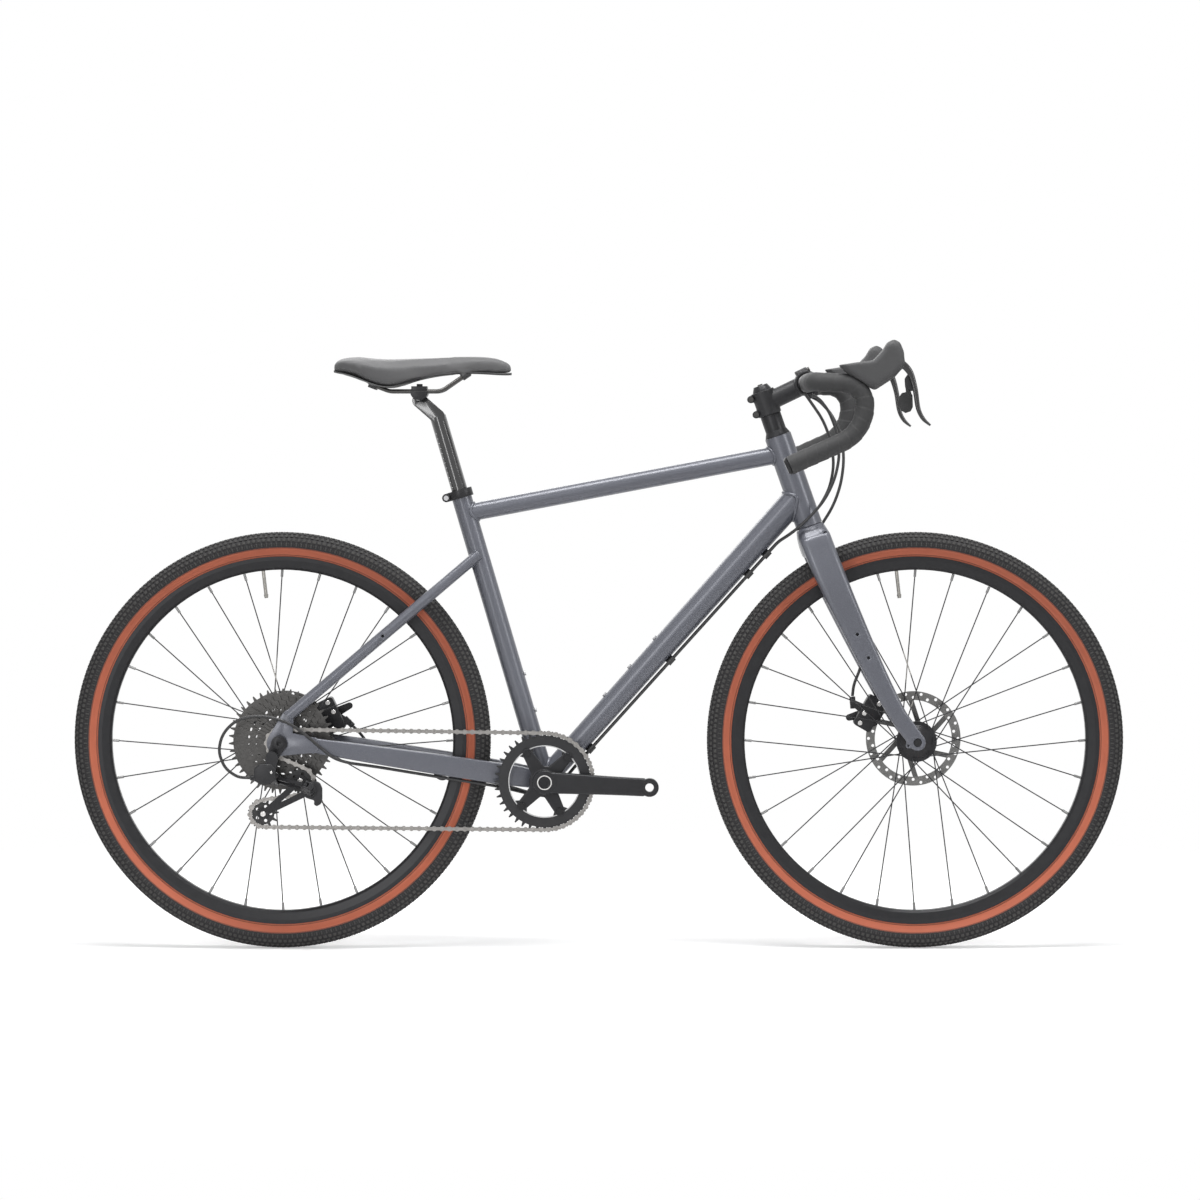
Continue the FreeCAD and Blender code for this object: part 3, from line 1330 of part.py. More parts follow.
def make_caliper(name, centre, offset, angles, seats):
    """A cable caliper over the rotor's edge: body, pads, cable stop and a separate arm."""
    place_angle, stop_angle, stop_lean, arm_angle = angles
    middle = centre + polar(caliper_radial_place, place_angle, 0)
    along = polar(1, place_angle + 90, 0)
    start = offset - caliper_inner_width
    end = offset + caliper_outer_width
    outward = polar(1, place_angle, 0)
    body = Part.Face(rounded_section(middle + LEFT * start, along, outward, caliper_half_length,
                                     caliper_half_height,
                                     caliper_corner_radius)).extrude(LEFT * (end - start))
    stop_place = middle + polar(caliper_stop_reach, stop_angle, 0)
    base = LEFT * (end - caliper_stop_width)
    bracket_arm = link_plate(middle + base, 2 * caliper_stop_radius, stop_place + base, caliper_stop_radius,
                             LEFT * caliper_stop_width)
    stop_line = stop_place + LEFT * (end - caliper_stop_width / 2)
    stop_run = polar(caliper_stop_length / 2, stop_lean, 0)
    stop = rod(stop_line - stop_run, stop_line + stop_run, caliper_stop_radius)
    slot = disc(centre, rotor_radius + caliper_slot_clearance, offset - caliper_slot_half_width,
                offset + caliper_slot_half_width)
    caliper = joined([body, bracket_arm, stop]).cut(slot)
    for seat in seats:
        caliper = caliper.cut(seat)
    caliper = max(caliper.Solids, key=lambda solid: solid.Volume)
    pads = []
    pad_place = centre + polar(rotor_radius - rotor_band / 2, place_angle, 0)
    for side in (-1, 1):
        face = LEFT * (offset + side * caliper_slot_half_width)
        pads.append(link_plate(pad_place - along * pad_half_length + face, pad_corner_radius,
                               pad_place + along * pad_half_length + face, pad_corner_radius,
                               LEFT * (-side * pad_thickness)))
    pin = disc(middle, caliper_pivot_radius, end, end + caliper_pivot_length)
    nodes[name + "_caliper"] = Part.makeCompound([joined([caliper, pin])] + pads)
    arm_start = middle + LEFT * (end + running_gap)
    arm_tip = arm_start + polar(caliper_arm_length, arm_angle, 0)
    arm = link_plate(arm_start, caliper_arm_radius, arm_tip, caliper_arm_tip_radius,
                     LEFT * caliper_arm_thickness)
    bore = disc(middle, caliper_pivot_radius + shaft_gap, end, end + 2 * caliper_pivot_length)
    nodes[name + "_caliper_arm"] = arm.cut(bore)
    print(name, "caliper pivot", arm_start, "stop", stop_line + stop_run)


def pitch_radius(teeth):
    """The pitch circle's radius of a toothed wheel."""
    return chain_pitch / 2 / math.sin(math.pi / teeth)


def toothed_disc(teeth, gap_angle, centre, start, end):
    """A toothed disc whose gap lies at an angle, between two places along Y."""
    radius = pitch_radius(teeth)
    corners = (
        (radius - tooth_root_depth, -tooth_root_half), (radius + tooth_height, -tooth_tip_half),
        (radius + tooth_height, tooth_tip_half), (radius - tooth_root_depth, tooth_root_half),
    )
    points = []
    for tooth in range(teeth):
        middle = gap_angle + FULL_TURN * (tooth + 0.5) / teeth
        for place, half_width in corners:
            points.append(centre + polar(place, middle + math.degrees(half_width / radius), start))
    return polygon_face(points).extrude(LEFT * (end - start))


def chain_wheels(cage_angle):
    """The wheels in the order in which the chain meets them: centre, teeth, turning sense, offset."""
    pivot = rear_axle + V(cage_pivot_ahead, 0, -cage_pivot_drop)
    guide = pivot + turned(V(guide_from_pivot_ahead, 0, guide_from_pivot_rise), LEFT, cage_angle)
    tension = pivot + turned(V(tension_from_pivot_ahead, 0, tension_from_pivot_rise), LEFT, cage_angle)
    rear = smallest_sprocket_offset
    return [
        (rear_axle, sprocket_teeth[0], -1, rear), (bracket, chainring_teeth, -1, chain_front_offset),
        (tension, pulley_teeth, -1, rear), (guide, pulley_teeth, 1, rear),
    ]


def chain_stretches(cage_angle):
    """The chain's straight runs and wraps, each with its length in pitches."""
    wheels = chain_wheels(cage_angle)
    runs = []
    for index, (centre, teeth, sense, offset) in enumerate(wheels):
        other, other_teeth, other_sense, other_offset = wheels[(index + 1) % len(wheels)]
        gap = V(other.x - centre.x, 0, other.z - centre.z)
        lever = sense * pitch_radius(teeth) - other_sense * pitch_radius(other_teeth)
        length = math.sqrt(gap.Length ** 2 - lever ** 2)
        heading = math.atan2(gap.z, gap.x) + math.atan2(lever, length)
        runs.append((length, math.degrees(heading)))
    stretches = []
    for index, (centre, teeth, sense, offset) in enumerate(wheels):
        arrive = runs[index - 1][1] - sense * 90
        depart = runs[index][1] - sense * 90
        wrap = (sense * (depart - arrive)) % FULL_TURN
        stretches.append(("wrap", index, arrive, wrap * teeth / FULL_TURN))
        stretches.append(("run", index, depart, runs[index][0] / chain_pitch))
    return wheels, stretches


def chain_pitches(cage_angle):
    """The whole chain's length in pitches."""
    return sum(stretch[3] for stretch in chain_stretches(cage_angle)[1])


def solve_cage():
    """The cage angle at which the chain is a whole, even number of links."""
    target = 2 * round(chain_pitches(0) / 2)
    low, high = -cage_search, cage_search
    rising = chain_pitches(high) > chain_pitches(low)
    while high - low > 1e-6:
        middle = (low + high) / 2
        if (chain_pitches(middle) > target) == rising:
            high = middle
        else:
            low = middle
    print("chain links", target, "cage turned by", round(low, 2))
    return low, target


def chain_place(wheels, stretches, pitches):
    """The roller at a distance along the chain, and the wheel that it lies on."""
    for kind, index, angle, length in stretches:
        centre, teeth, sense, offset = wheels[index]
        if pitches <= length:
            if kind == "wrap":
                turn = angle + sense * pitches * FULL_TURN / teeth
                return centre + polar(pitch_radius(teeth), turn, offset), index, turn
            start = centre + polar(pitch_radius(teeth), angle, offset)
            other = wheels[(index + 1) % len(wheels)]
            heading = angle + sense * 90
            aside = (pitches - chain_settle_pitches) / (length - 2 * chain_settle_pitches)
            aside = min(max(aside, 0), 1) * (other[3] - offset)
            return start + polar(pitches * chain_pitch, heading, aside), None, None
        pitches -= length
    return chain_place(wheels, stretches, 0)


def make_chain(wheels, stretches, links):
    """Inner and outer links round the whole loop, and the gap angle of each wheel."""
    places = []
    gaps = {}
    for link in range(links):
        place, wheel, turn = chain_place(wheels, stretches, link)
        places.append(place)
        if wheel is not None:
            gaps.setdefault(wheel, turn)
    far = FORWARD * chain_pitch

    def chain_plate(start, end):
        waist = Part.makeBox(chain_pitch, end - start, 2 * link_waist_half_height,
                             V(0, start, -link_waist_half_height))
        return [waist, disc(V(0, 0, 0), link_radius, start, end), disc(far, link_radius, start, end)]

    inner_face = inner_link_half_width + inner_plate_thickness
    outer_face = inner_face + link_plate_gap
    outer_end = outer_face + outer_plate_thickness
    origin = V(0, 0, 0)
    inner_parts = []
    outer_parts = []
    inner_parts += chain_plate(inner_link_half_width, inner_face)
    inner_parts += chain_plate(-inner_face, -inner_link_half_width)
    outer_parts += chain_plate(outer_face, outer_end) + chain_plate(-outer_end, -outer_face)
    for end in (origin, far):
        inner_parts.append(disc(end, roller_radius, -inner_link_half_width, inner_link_half_width))
        outer_parts.append(disc(end, pin_radius, -outer_end, outer_end))
    inner_link = joined(inner_parts)
    for end in (origin, far):
        inner_link = inner_link.cut(disc(end, roller_bore, -inner_face, inner_face))
    outer_link = joined(outer_parts)
    solids = []
    for link in range(links):
        start = places[link]
        along = unit(places[(link + 1) % links] - start)
        upward = unit(along.cross(LEFT))
        side = upward.cross(along)
        turn = FreeCAD.Rotation(along, side, upward, "XYZ")
        solid = (inner_link if link % 2 else outer_link).copy()
        solid.Placement = FreeCAD.Placement(start, turn)
        solids.append(solid)
    nodes["chain"] = Part.makeCompound(solids)
    return gaps


def make_cassette(gap_angle):
    """Sprockets, spacers and lockring on the freehub body."""
    solids = []
    half = tooth_thickness / 2
    for index, teeth in enumerate(sprocket_teeth):
        offset = smallest_sprocket_offset + index * sprocket_pitch
        sprocket = toothed_disc(teeth, gap_angle, rear_axle, offset - half, offset + half)
        ring_step = 2 * sprocket_window_radius + sprocket_window_gap
        ring_radius = freehub_radius + sprocket_spacer_wall + sprocket_window_gap / 2 + sprocket_window_radius
        windows = []
        while ring_radius + sprocket_window_radius + sprocket_band < pitch_radius(teeth):
            count = int(math.pi / math.asin(ring_step / 2 / ring_radius))
            for window in range(count):
                place = rear_axle + polar(ring_radius, FULL_TURN * window / count, 0)
                windows.append(disc(place, sprocket_window_radius, offset - cut_overrun,
                                    offset + cut_overrun))
            ring_radius += ring_step
        if windows:
            sprocket = sprocket.cut(Part.makeCompound(windows))
        solids.append(sprocket.cut(disc(rear_axle, freehub_radius, offset - cut_overrun,
                                        offset + cut_overrun)))
        if index + 1 < len(sprocket_teeth):
            start = offset + half
            end = offset + sprocket_pitch - half
            room = pitch_radius(teeth) * math.cos(math.pi / teeth) - link_radius - running_gap / 2
            spacer = disc(rear_axle, min(freehub_radius + sprocket_spacer_wall, room), start, end)
            solids.append(spacer.cut(disc(rear_axle, freehub_radius, start, end)))
    first = smallest_sprocket_offset - half
    last = smallest_sprocket_offset + sprocket_pitch * (len(sprocket_teeth) - 1) + half
    body = disc(rear_axle, freehub_radius, first, last)
    lock = disc(rear_axle, lockring_radius, first - lockring_height, first)
    bore = disc(rear_axle, axle_radius + shaft_gap, first - 2 * lockring_height, last)
    end_cap = disc(rear_axle, hub_end_radius, running_gap - rear_hub_width / 2, first - lockring_height)
    solids += [body.cut(bore), lock.cut(bore), end_cap.cut(bore)]
    nodes["cassette"] = Part.makeCompound(solids)


def make_crank_arm(side, angle):
    """One crank arm, from its boss to the pedal eye, on the side given."""
    along = polar(1, angle, 0)
    upward = turned(along, LEFT, -90)
    across = unit(LEFT)
    sections = []
    for index, share in enumerate(arm_reach_shares):
        centre = bracket + along * (crank_length * share) + LEFT * (side * arm_offsets[index])
        sections.append(rounded_section(centre, across, upward, arm_half_thicknesses[index],
                                        arm_half_widths[index], arm_corner))
    eye_place = bracket + along * crank_length
    boss_inner = bracket_width / 2 + cup_flange_width + running_gap
    boss = disc(bracket, crank_boss_radius, side * boss_inner, side * crank_boss_outer)
    eye = disc(eye_place, pedal_eye_radius, side * pedal_eye_inner, side * pedal_eye_outer)
    pieces = [Part.makeLoft(sections, True), boss, eye]
    return pieces, eye_place, boss_inner


def make_crankset(gap_angle):
    """Right arm with spider and spindle, left arm, chainring and its bolts."""
    pieces, eye_place, boss_inner = make_crank_arm(-1, crank_angle)
    ring_start = chain_front_offset - chainring_thickness / 2
    ring_end = chain_front_offset + chainring_thickness / 2
    spider_face = ring_start - spider_thickness
    pieces.append(disc(bracket, spider_hub_radius, spider_face, ring_start))
    tabs = []
    bolts = []
    holes = []
    for lead in spider_angles:
        root = bracket + polar(spider_root_place, crank_angle + lead, spider_face)
        tip = bracket + polar(bolt_circle_radius, crank_angle + lead, spider_face)
        pieces.append(link_plate(root, spider_root_radius, tip, spider_tip_radius, LEFT * spider_thickness))
        ring_tip = V(tip.x, ring_start, tip.z)
        ring_root = bracket + polar(chainring_inner_radius + chainring_tab_radius, crank_angle + lead,
                                    ring_start)
        tabs.append(link_plate(ring_tip, chainring_tab_radius, ring_root, 2 * chainring_tab_radius,
                               LEFT * chainring_thickness))
        line = V(tip.x, 0, tip.z)
        holes.append(disc(line, chainring_bolt_radius, spider_face - cut_overrun, ring_end + cut_overrun))
        shank = disc(line, chainring_bolt_radius, spider_face, ring_end)
        front = disc(line, chainring_bolt_head_radius, spider_face - chainring_bolt_head_height, spider_face)
        back = disc(line, chainring_bolt_head_radius, ring_end, ring_end + chainring_bolt_head_height)
        bolts.append(joined([shank, front, back]))
    hole_group = Part.makeCompound(holes)
    right = joined(pieces).cut(hole_group)
    pedal_hole = disc(eye_place, pedal_thread_radius, -pedal_eye_inner + cut_overrun,
                      -pedal_eye_outer - cut_overrun)
    recess = disc(bracket, crank_cap_radius, -crank_boss_outer, crank_cap_depth - crank_boss_outer)
    right = right.cut(pedal_hole).cut(recess)
    ring = disc(bracket, crank_ring_radius, -crank_boss_outer - crank_ring_height, -crank_boss_outer)
    ring = ring.cut(disc(bracket, crank_cap_radius, -crank_boss_outer - crank_ring_height,
                         -crank_boss_outer))
    spindle = disc(bracket, spindle_radius, -boss_inner, boss_inner)
    nodes["right_crank_arm"] = joined([right, spindle])
    pieces, eye_place, boss_inner = make_crank_arm(1, crank_angle + 180)
    left = joined(pieces)
    pedal_hole = disc(eye_place, pedal_thread_radius, pedal_eye_inner - cut_overrun,
                      pedal_eye_outer + cut_overrun)
    left = left.cut(pedal_hole).cut(disc(bracket, crank_cap_radius, crank_boss_outer - crank_cap_depth,
                                         crank_boss_outer))
    nodes["left_crank_arm"] = left
    toothed = toothed_disc(chainring_teeth, gap_angle, bracket, chain_front_offset - tooth_thickness / 2,
                           chain_front_offset + tooth_thickness / 2)
    outer = pitch_radius(chainring_teeth) - tooth_root_depth - tooth_height / 2
    thick = disc(bracket, outer, ring_start, ring_end)
    hollow = disc(bracket, chainring_inner_radius, ring_start, ring_end)
    rim = toothed.fuse(thick).cut(hollow)
    limit = disc(bracket, outer, ring_start, ring_end)
    chainring = joined([rim] + [tab.common(limit) for tab in tabs]).cut(hole_group)
    nodes["chainring"] = chainring
    nodes["crank_bolts"] = Part.makeCompound(bolts + [ring])


def linkage_axes():
    """Directions of the parallelogram: middle of the links' swing, its travel and the pivots' axis."""
    slant = math.radians(linkage_slant_angle)
    travel = V(0, math.cos(slant), -math.sin(slant))
    lift = V(0, math.sin(slant), math.cos(slant))
    rise = math.radians(linkage_rise_angle)
    ahead = FORWARD * math.cos(rise) - lift * math.sin(rise)
    return ahead, travel, ahead.cross(travel)


def knuckle_ears(origin, facing, frame_axes):
    """A two-eared block that holds both links at one end of the parallelogram."""
    ahead, travel, axis = frame_axes
    pieces = []
    holes = []
    for side in (-1, 1):
        start = axis * (side * (link_half_height + running_gap))
        ends = [origin + travel * (sign * link_spacing / 2) + start for sign in (-1, 1)]
        pieces.append(link_plate(ends[0], ear_radius, ends[1], ear_radius, axis * (side * ear_thickness)))
        back = [end + ahead * (facing * linkage_back_end / 2) for end in ends]
        for end, rear in zip(ends, back):
            pieces.append(link_plate(end, ear_radius, rear, ear_radius, axis * (side * ear_thickness)))
    height = 2 * (link_half_height + running_gap + ear_thickness)
    width = link_spacing + 2 * ear_radius
    depth = linkage_back_end - linkage_back_start
    block = Part.makeBox(depth, width, height, V(0, -width / 2, -height / 2))
    base = origin + ahead * (facing * linkage_back_start - (depth if facing < 0 else 0))
    block.Placement = FreeCAD.Placement(base,
                                        FreeCAD.Rotation(ahead, travel, axis,
                                                         "XYZ")).multiply(block.Placement)
    pieces.append(block)
    reach = link_half_height + 2 * ear_thickness
    for sign in (-1, 1):
        line = origin + travel * (sign * link_spacing / 2)
        holes.append(rod(line - axis * reach, line + axis * reach, link_pin_radius + shaft_gap))
    return pieces, Part.makeCompound(holes)


def link_room(origin, run, frame_axes):
    """The space that both links sweep next to a knuckle."""
    ahead, travel, axis = frame_axes
    keep = link_half_height + running_gap
    rooms = []
    for sign in (-1, 1):
        line = origin + travel * (sign * link_spacing / 2) - axis * keep
        rooms.append(rod(line, line + axis * (2 * keep), link_eye_radius + running_gap))
        for step in range(link_room_steps + 1):
            lean = turned(run, axis, linkage_swing * step / link_room_steps)
            rooms.append(link_plate(line, link_thickness / 2 + running_gap, line + lean * link_room_share,
                                    link_thickness / 2 + running_gap, axis * (2 * keep)))
    return joined(rooms)


def make_derailleur(wheels, gaps):
    """Hanger, fixed knuckle, two links, moving knuckle, cage and pulleys."""
    hanger_outer = -rear_hub_width / 2 - dropout_thickness
    bolt_place = rear_axle + V(hanger_reach, 0, -hanger_drop)
    base = LEFT * hanger_outer
    hanger = link_plate(rear_axle + base, hanger_axle_radius, bolt_place + base, hanger_bolt_radius,
                        LEFT * -hanger_thickness)
    nut_face = hanger_outer - hanger_thickness
    nut = disc(rear_axle, hanger_nut_radius, nut_face - hanger_nut_height, nut_face)
    recess = disc(rear_axle, axle_hex_radius, nut_face - 2 * hanger_nut_height,
                  hanger_outer - hanger_thickness / 2)
    nodes["derailleur_hanger"] = joined([hanger, nut]).cut(recess)

    axes = linkage_axes()
    ahead, travel, axis = axes
    origin = rear_axle + V(linkage_base_ahead, linkage_base_offset, -linkage_base_drop)
    half_swing = math.radians(linkage_swing / 2)
    link_run = (ahead * math.cos(half_swing) - travel * math.sin(half_swing)) * link_length
    far = origin + link_run
    pieces, holes = knuckle_ears(origin, -1, axes)
    knuckle_face = hanger_outer - hanger_thickness
    knuckle = disc(bolt_place, knuckle_radius, knuckle_face - knuckle_depth, knuckle_face)
    back = origin - ahead * ((linkage_back_start + linkage_back_end) / 2)
    web_start = V(back.x, knuckle_face - knuckle_depth, back.z)
    web = link_plate(V(bolt_place.x, knuckle_face - knuckle_depth, bolt_place.z), knuckle_radius, web_start,
                     link_eye_radius + ear_thickness, LEFT * knuckle_depth)
    bridge = rod(web_start, back, link_eye_radius + ear_thickness)
    barrel_root = V(back.x, barrel_offset, back.z)
    barrel = rod(barrel_root, barrel_root - FORWARD * barrel_length, barrel_radius)
    body = joined([knuckle, web, bridge, barrel] + pieces)
    nodes["derailleur_body"] = body.cut(holes).cut(link_room(origin, link_run, axes))
    print("housing end", barrel_root - FORWARD * barrel_length)

    for name, sign in (("derailleur_outer_link", -1), ("derailleur_inner_link", 1)):
        start = origin + travel * (sign * link_spacing / 2)
        end = start + link_run
        bottom = axis * -link_half_height
        height = axis * (2 * link_half_height)
        bar = link_plate(start + bottom, link_thickness / 2, end + bottom, link_thickness / 2, height)
        solids = [bar]
        for place in (start, end):
            solids.append(rod(place + bottom, place + bottom + height, link_eye_radius))
            reach = link_half_height + running_gap + ear_thickness
            solids.append(rod(place - axis * reach, place + axis * reach, link_pin_radius))
        nodes[name] = joined(solids)

    pivot = rear_axle + V(cage_pivot_ahead, 0, -cage_pivot_drop)
    pieces, holes = knuckle_ears(far, 1, axes)
    drum = disc(pivot, pivot_knuckle_radius, pivot_knuckle_outer, pivot_knuckle_inner)
    front = far + ahead * ((linkage_back_start + linkage_back_end) / 2)
    web = rod(V(pivot.x, (pivot_knuckle_inner + pivot_knuckle_outer) / 2, pivot.z), front, pivot_knuckle_web)
    moving = joined([drum, web] + pieces).cut(holes).cut(link_room(far, -link_run, axes))
    axle_end = smallest_sprocket_offset - cage_half_gap
    cage_bore = disc(pivot, cage_axle_radius + shaft_gap, pivot_knuckle_outer, pivot_knuckle_inner)
    nodes["derailleur_knuckle"] = moving.cut(cage_bore)

    tension = wheels[2][0]
    guide = wheels[3][0]
    plane = smallest_sprocket_offset
    outer_start = plane - cage_half_gap - cage_plate_thickness
    inner_start = plane + cage_half_gap
    thickness = LEFT * cage_plate_thickness
    solids = []
    for start in (outer_start, inner_start):
        base = LEFT * start
        solids.append(link_plate(guide + base, cage_web_radius, tension + base, cage_web_radius, thickness))
        solids.append(disc(guide, cage_guide_radius, start, start + cage_plate_thickness))
        solids.append(disc(tension, cage_tension_radius, start, start + cage_plate_thickness))
        if start == outer_start:
            solids.append(link_plate(guide + base, cage_guide_radius, pivot + base, cage_pivot_radius,
                                     thickness))
            solids.append(link_plate(tension + base, cage_web_radius, pivot + base, cage_web_radius,
                                     thickness))
    cage_axle = disc(pivot, cage_axle_radius, (pivot_knuckle_outer + pivot_knuckle_inner) / 2, axle_end)
    pins = [disc(guide, pulley_bore, outer_start, inner_start + cage_plate_thickness),
            disc(tension, pulley_bore, outer_start, inner_start + cage_plate_thickness)]
    nodes["derailleur_cage"] = joined(solids + [cage_axle] + pins)
    for name, index in (("tension_pulley", 2), ("guide_pulley", 3)):
        centre = wheels[index][0]
        half = pulley_thickness / 2
        pulley = toothed_disc(pulley_teeth, gaps[index], centre, plane - half, plane + half)
        boss = disc(centre, 2 * pulley_bore, plane - cage_half_gap + running_gap,
                    plane + cage_half_gap - running_gap)
        pulley = joined([pulley, boss])
        inner_room = (2 * pulley_bore + pitch_radius(pulley_teeth) - tooth_root_depth) / 2
        holes = [disc(centre, pulley_bore + shaft_gap, plane - 2 * cage_half_gap, plane + 2 * cage_half_gap)]
        for hole in range(pulley_hole_count):
            place = centre + polar(inner_room, FULL_TURN * hole / pulley_hole_count, 0)
            holes.append(disc(place, pulley_hole_radius, plane - half - cut_overrun,
                              plane + half + cut_overrun))
        nodes[name] = pulley.cut(Part.makeCompound(holes))
    print("linkage origin", origin, "far", far, "axis", axis, "pivot", pivot, "guide", guide, "tension",
          tension)


def make_cables(bolts):
    """Cables along the frame and fork, their guides and the bolts that share a node."""
    fittings = []
    tube_solid = rod(bracket, down_tube_front, down_tube_bracket_radius, down_tube_head_radius)
    loops = []
    frame_cables = []
    runs = (
        (-1, shift_loop_route, shift_rear_route, "shift"),
        (1, brake_loop_route, brake_rear_route, "rear brake"),
    )
    for side, loop, tail, name in runs:
        line = []
        for place in guide_places + (guide_tail_place,):
            drop = down_tube_radius_at(place) + cable_radius + cable_clearance
            line.append(bracket + down_run * place + down_face * drop + LEFT * (side * guide_spread))
        reach = unit(line[0] - line[-1]) * guide_half_length
        for centre in line[:-1]:
            sleeve = pipe(centre - reach, centre + reach, guide_radius, cable_radius + shaft_gap)
            fittings.append(sleeve.cut(tube_solid))
        top = line[0] + reach
        loops.append(cord(route(loop) + [top + reach * guide_lead, top], name + " loop"))
        frame_cables.append(cord([top, line[-1]] + route(tail),
                                 name + " housing").cut(nodes["rear_caliper"]))
    nodes["steering_cables"] = Part.makeCompound(loops)
    nodes["frame_cables"] = Part.makeCompound(frame_cables)
    front = cord(route(front_hose_route), "front brake hose").cut(nodes["fork"])
    lower = cord(route(fork_hose_route), "fork hose").cut(nodes["fork"]).cut(nodes["front_caliper"])
    nodes["front_brake_hose"] = Part.makeCompound([front, lower])
    nodes["frame_fittings"] = Part.makeCompound(fittings + bolts)


os.makedirs("parts", exist_ok=True)
head_solid, shell_solid, seat_solid, seat_piece, down_piece = make_main_tubes()
bottle_bolts = make_frame_bolts(seat_piece, down_piece)
seatstay_solid = make_rear_end(shell_solid, seat_solid)
nodes["rear_axle"] = make_axle(rear_axle, rear_hub_width, dropout_thickness)
nodes["front_axle"] = make_axle(front_axle, front_hub_width, fork_tip_width)
collar_bolt, saddle_tilt = make_collar_and_post()
make_cradle(saddle_tilt)
make_saddle(saddle_tilt)
make_fork()
make_cockpit_column()
bar_solid, tape_solids = make_bar()
make_levers(bar_solid, tape_solids)
make_wheels()
front_angles = (front_caliper_angle, front_stop_angle, front_stop_lean, front_arm_angle)
rear_angles = (rear_caliper_angle, rear_stop_angle, rear_stop_lean, rear_arm_angle)
make_caliper("front", front_axle, front_rotor_offset, front_angles, [nodes["fork"]])
make_caliper("rear", rear_axle, rear_rotor_offset, rear_angles, [nodes["chain_stays"], nodes["dropouts"]])
cage_turn, link_count = solve_cage()
chain_wheel_list, chain_stretch_list = chain_stretches(cage_turn)
gap_angles = make_chain(chain_wheel_list, chain_stretch_list, link_count)
make_cassette(gap_angles[0])
make_crankset(gap_angles[1])
make_derailleur(chain_wheel_list, gap_angles)
make_cables(bottle_bolts + [collar_bolt])

for node_name, shape in nodes.items():
    shape.exportStep("parts/" + node_name + ".step")
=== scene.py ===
"""Dresses the packed gravel bike: finishes, tyres, wraps, saddle, hoods, welds and the studio around it."""
import math
from functools import partial
from types import SimpleNamespace

import bmesh
import bpy
from mathutils import Matrix, Quaternion, Vector
from mathutils.bvhtree import BVHTree


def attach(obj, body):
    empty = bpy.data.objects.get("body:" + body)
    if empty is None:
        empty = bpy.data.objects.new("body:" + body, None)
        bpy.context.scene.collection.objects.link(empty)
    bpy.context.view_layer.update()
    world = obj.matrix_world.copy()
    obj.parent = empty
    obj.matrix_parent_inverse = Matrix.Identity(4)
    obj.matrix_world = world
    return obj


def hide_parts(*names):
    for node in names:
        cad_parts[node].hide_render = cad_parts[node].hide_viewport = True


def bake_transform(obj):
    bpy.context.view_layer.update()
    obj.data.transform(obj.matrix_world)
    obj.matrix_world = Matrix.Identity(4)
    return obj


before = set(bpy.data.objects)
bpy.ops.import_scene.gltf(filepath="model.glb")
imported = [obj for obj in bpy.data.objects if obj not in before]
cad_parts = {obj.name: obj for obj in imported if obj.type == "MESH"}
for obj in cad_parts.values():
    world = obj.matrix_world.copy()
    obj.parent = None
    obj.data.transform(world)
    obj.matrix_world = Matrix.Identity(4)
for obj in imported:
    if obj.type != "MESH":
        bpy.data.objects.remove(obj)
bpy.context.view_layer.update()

bl_info = {
    "name": "Gravel Bike Dresser",
    "version": (1, 0, 0),
    "blender": (4, 5, 0),
    "location": "View3D > Sidebar > Gravel Bike",
    "description": "Builds the tyres, wraps, saddle, hoods, welds and finishes of a gravel bike on its frame",
    "category": "Object",
}

MM = 0.001
FLOAT = "NodeSocketFloat"
COLOUR = "NodeSocketColor"
FLAT_ANGLE = math.radians(0.8)
SHARP_DEGREES = 32
SMOOTHING = 0.5
MERGE_REACH = 2e-6
ARC_STEPS = 24
# A bolt head's sides, its chamfer, crown and socket ring as shares of its radius, and the socket's depth.
HEAD_SIDES = 24
HEAD_CHAMFER, HEAD_CROWN, SOCKET_RING, SOCKET_DEPTH = 0.14, 0.12, 0.34, 0.6
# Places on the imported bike, in metres.
FRONT_AXLE = Vector((0.5312, 0.0, 0.350))
REAR_AXLE = Vector((-0.5312, 0.0, 0.350))
BRACKET = Vector((-0.0905, 0.0, 0.284))
LEVER_PIVOT = Vector((0.485571, 0.215, 0.979524))
CAGE_PIVOT = Vector((-0.4807, -0.083, 0.2694))
GUIDE_PULLEY = Vector((-0.497467, -0.0706, 0.286556))
TENSION_PULLEY = Vector((-0.559020, -0.0706, 0.231882))
FRONT_CALIPER = Vector((0.4567, 0.026, 0.3930))
REAR_CALIPER = Vector((-0.4539, 0.043, 0.3877))
# The height marks printed on the seatpost, and the ways along it and to its back.
MARK_PITCH = 8.5 * MM
MARK_REACH = 10.6 * MM
MARK_RADIUS = 0.8 * MM
MARK_TOP = 615 * MM
SEAT_AXIS = Vector((-0.2823, 0, 0.9593))
SEAT_REAR = Vector((-0.9593, 0, -0.2823))
# Radii at which the finishes of the wheels, rotors and cranks change, in metres, and the valve's turn and span.
SIDEWALL_LINES = (0.3116, 0.3232)
LINE_HALF = 0.5 * MM
NIPPLE_START = (0.2742, 0.2748)
VALVE_TURN, VALVE_SPAN = math.radians(96.4), 0.03
TRACK_START = (0.0640, 0.0655)
MACHINED_RING = (0.0597, 0.0009)
CAP_EDGE = (0.022, 0.020)
# The bright bolts on the frame, and how far round each its fitting is bright.
BOLT_REACH = 12 * MM
FRAME_BOLTS = ((0.0117, 0, 0.4246), (0.0533, 0, 0.4719), (0.0956, 0, 0.5200), (-0.1092, 0, 0.4005),
               (-0.1273, 0, 0.4619), (-0.2557, -0.0035, 0.7566))


def colour_setting(label, use, value):
    """A colour setting, in linear light."""
    return bpy.props.FloatVectorProperty(
        name=label, description=use, subtype="COLOR", default=value, min=0, max=1)


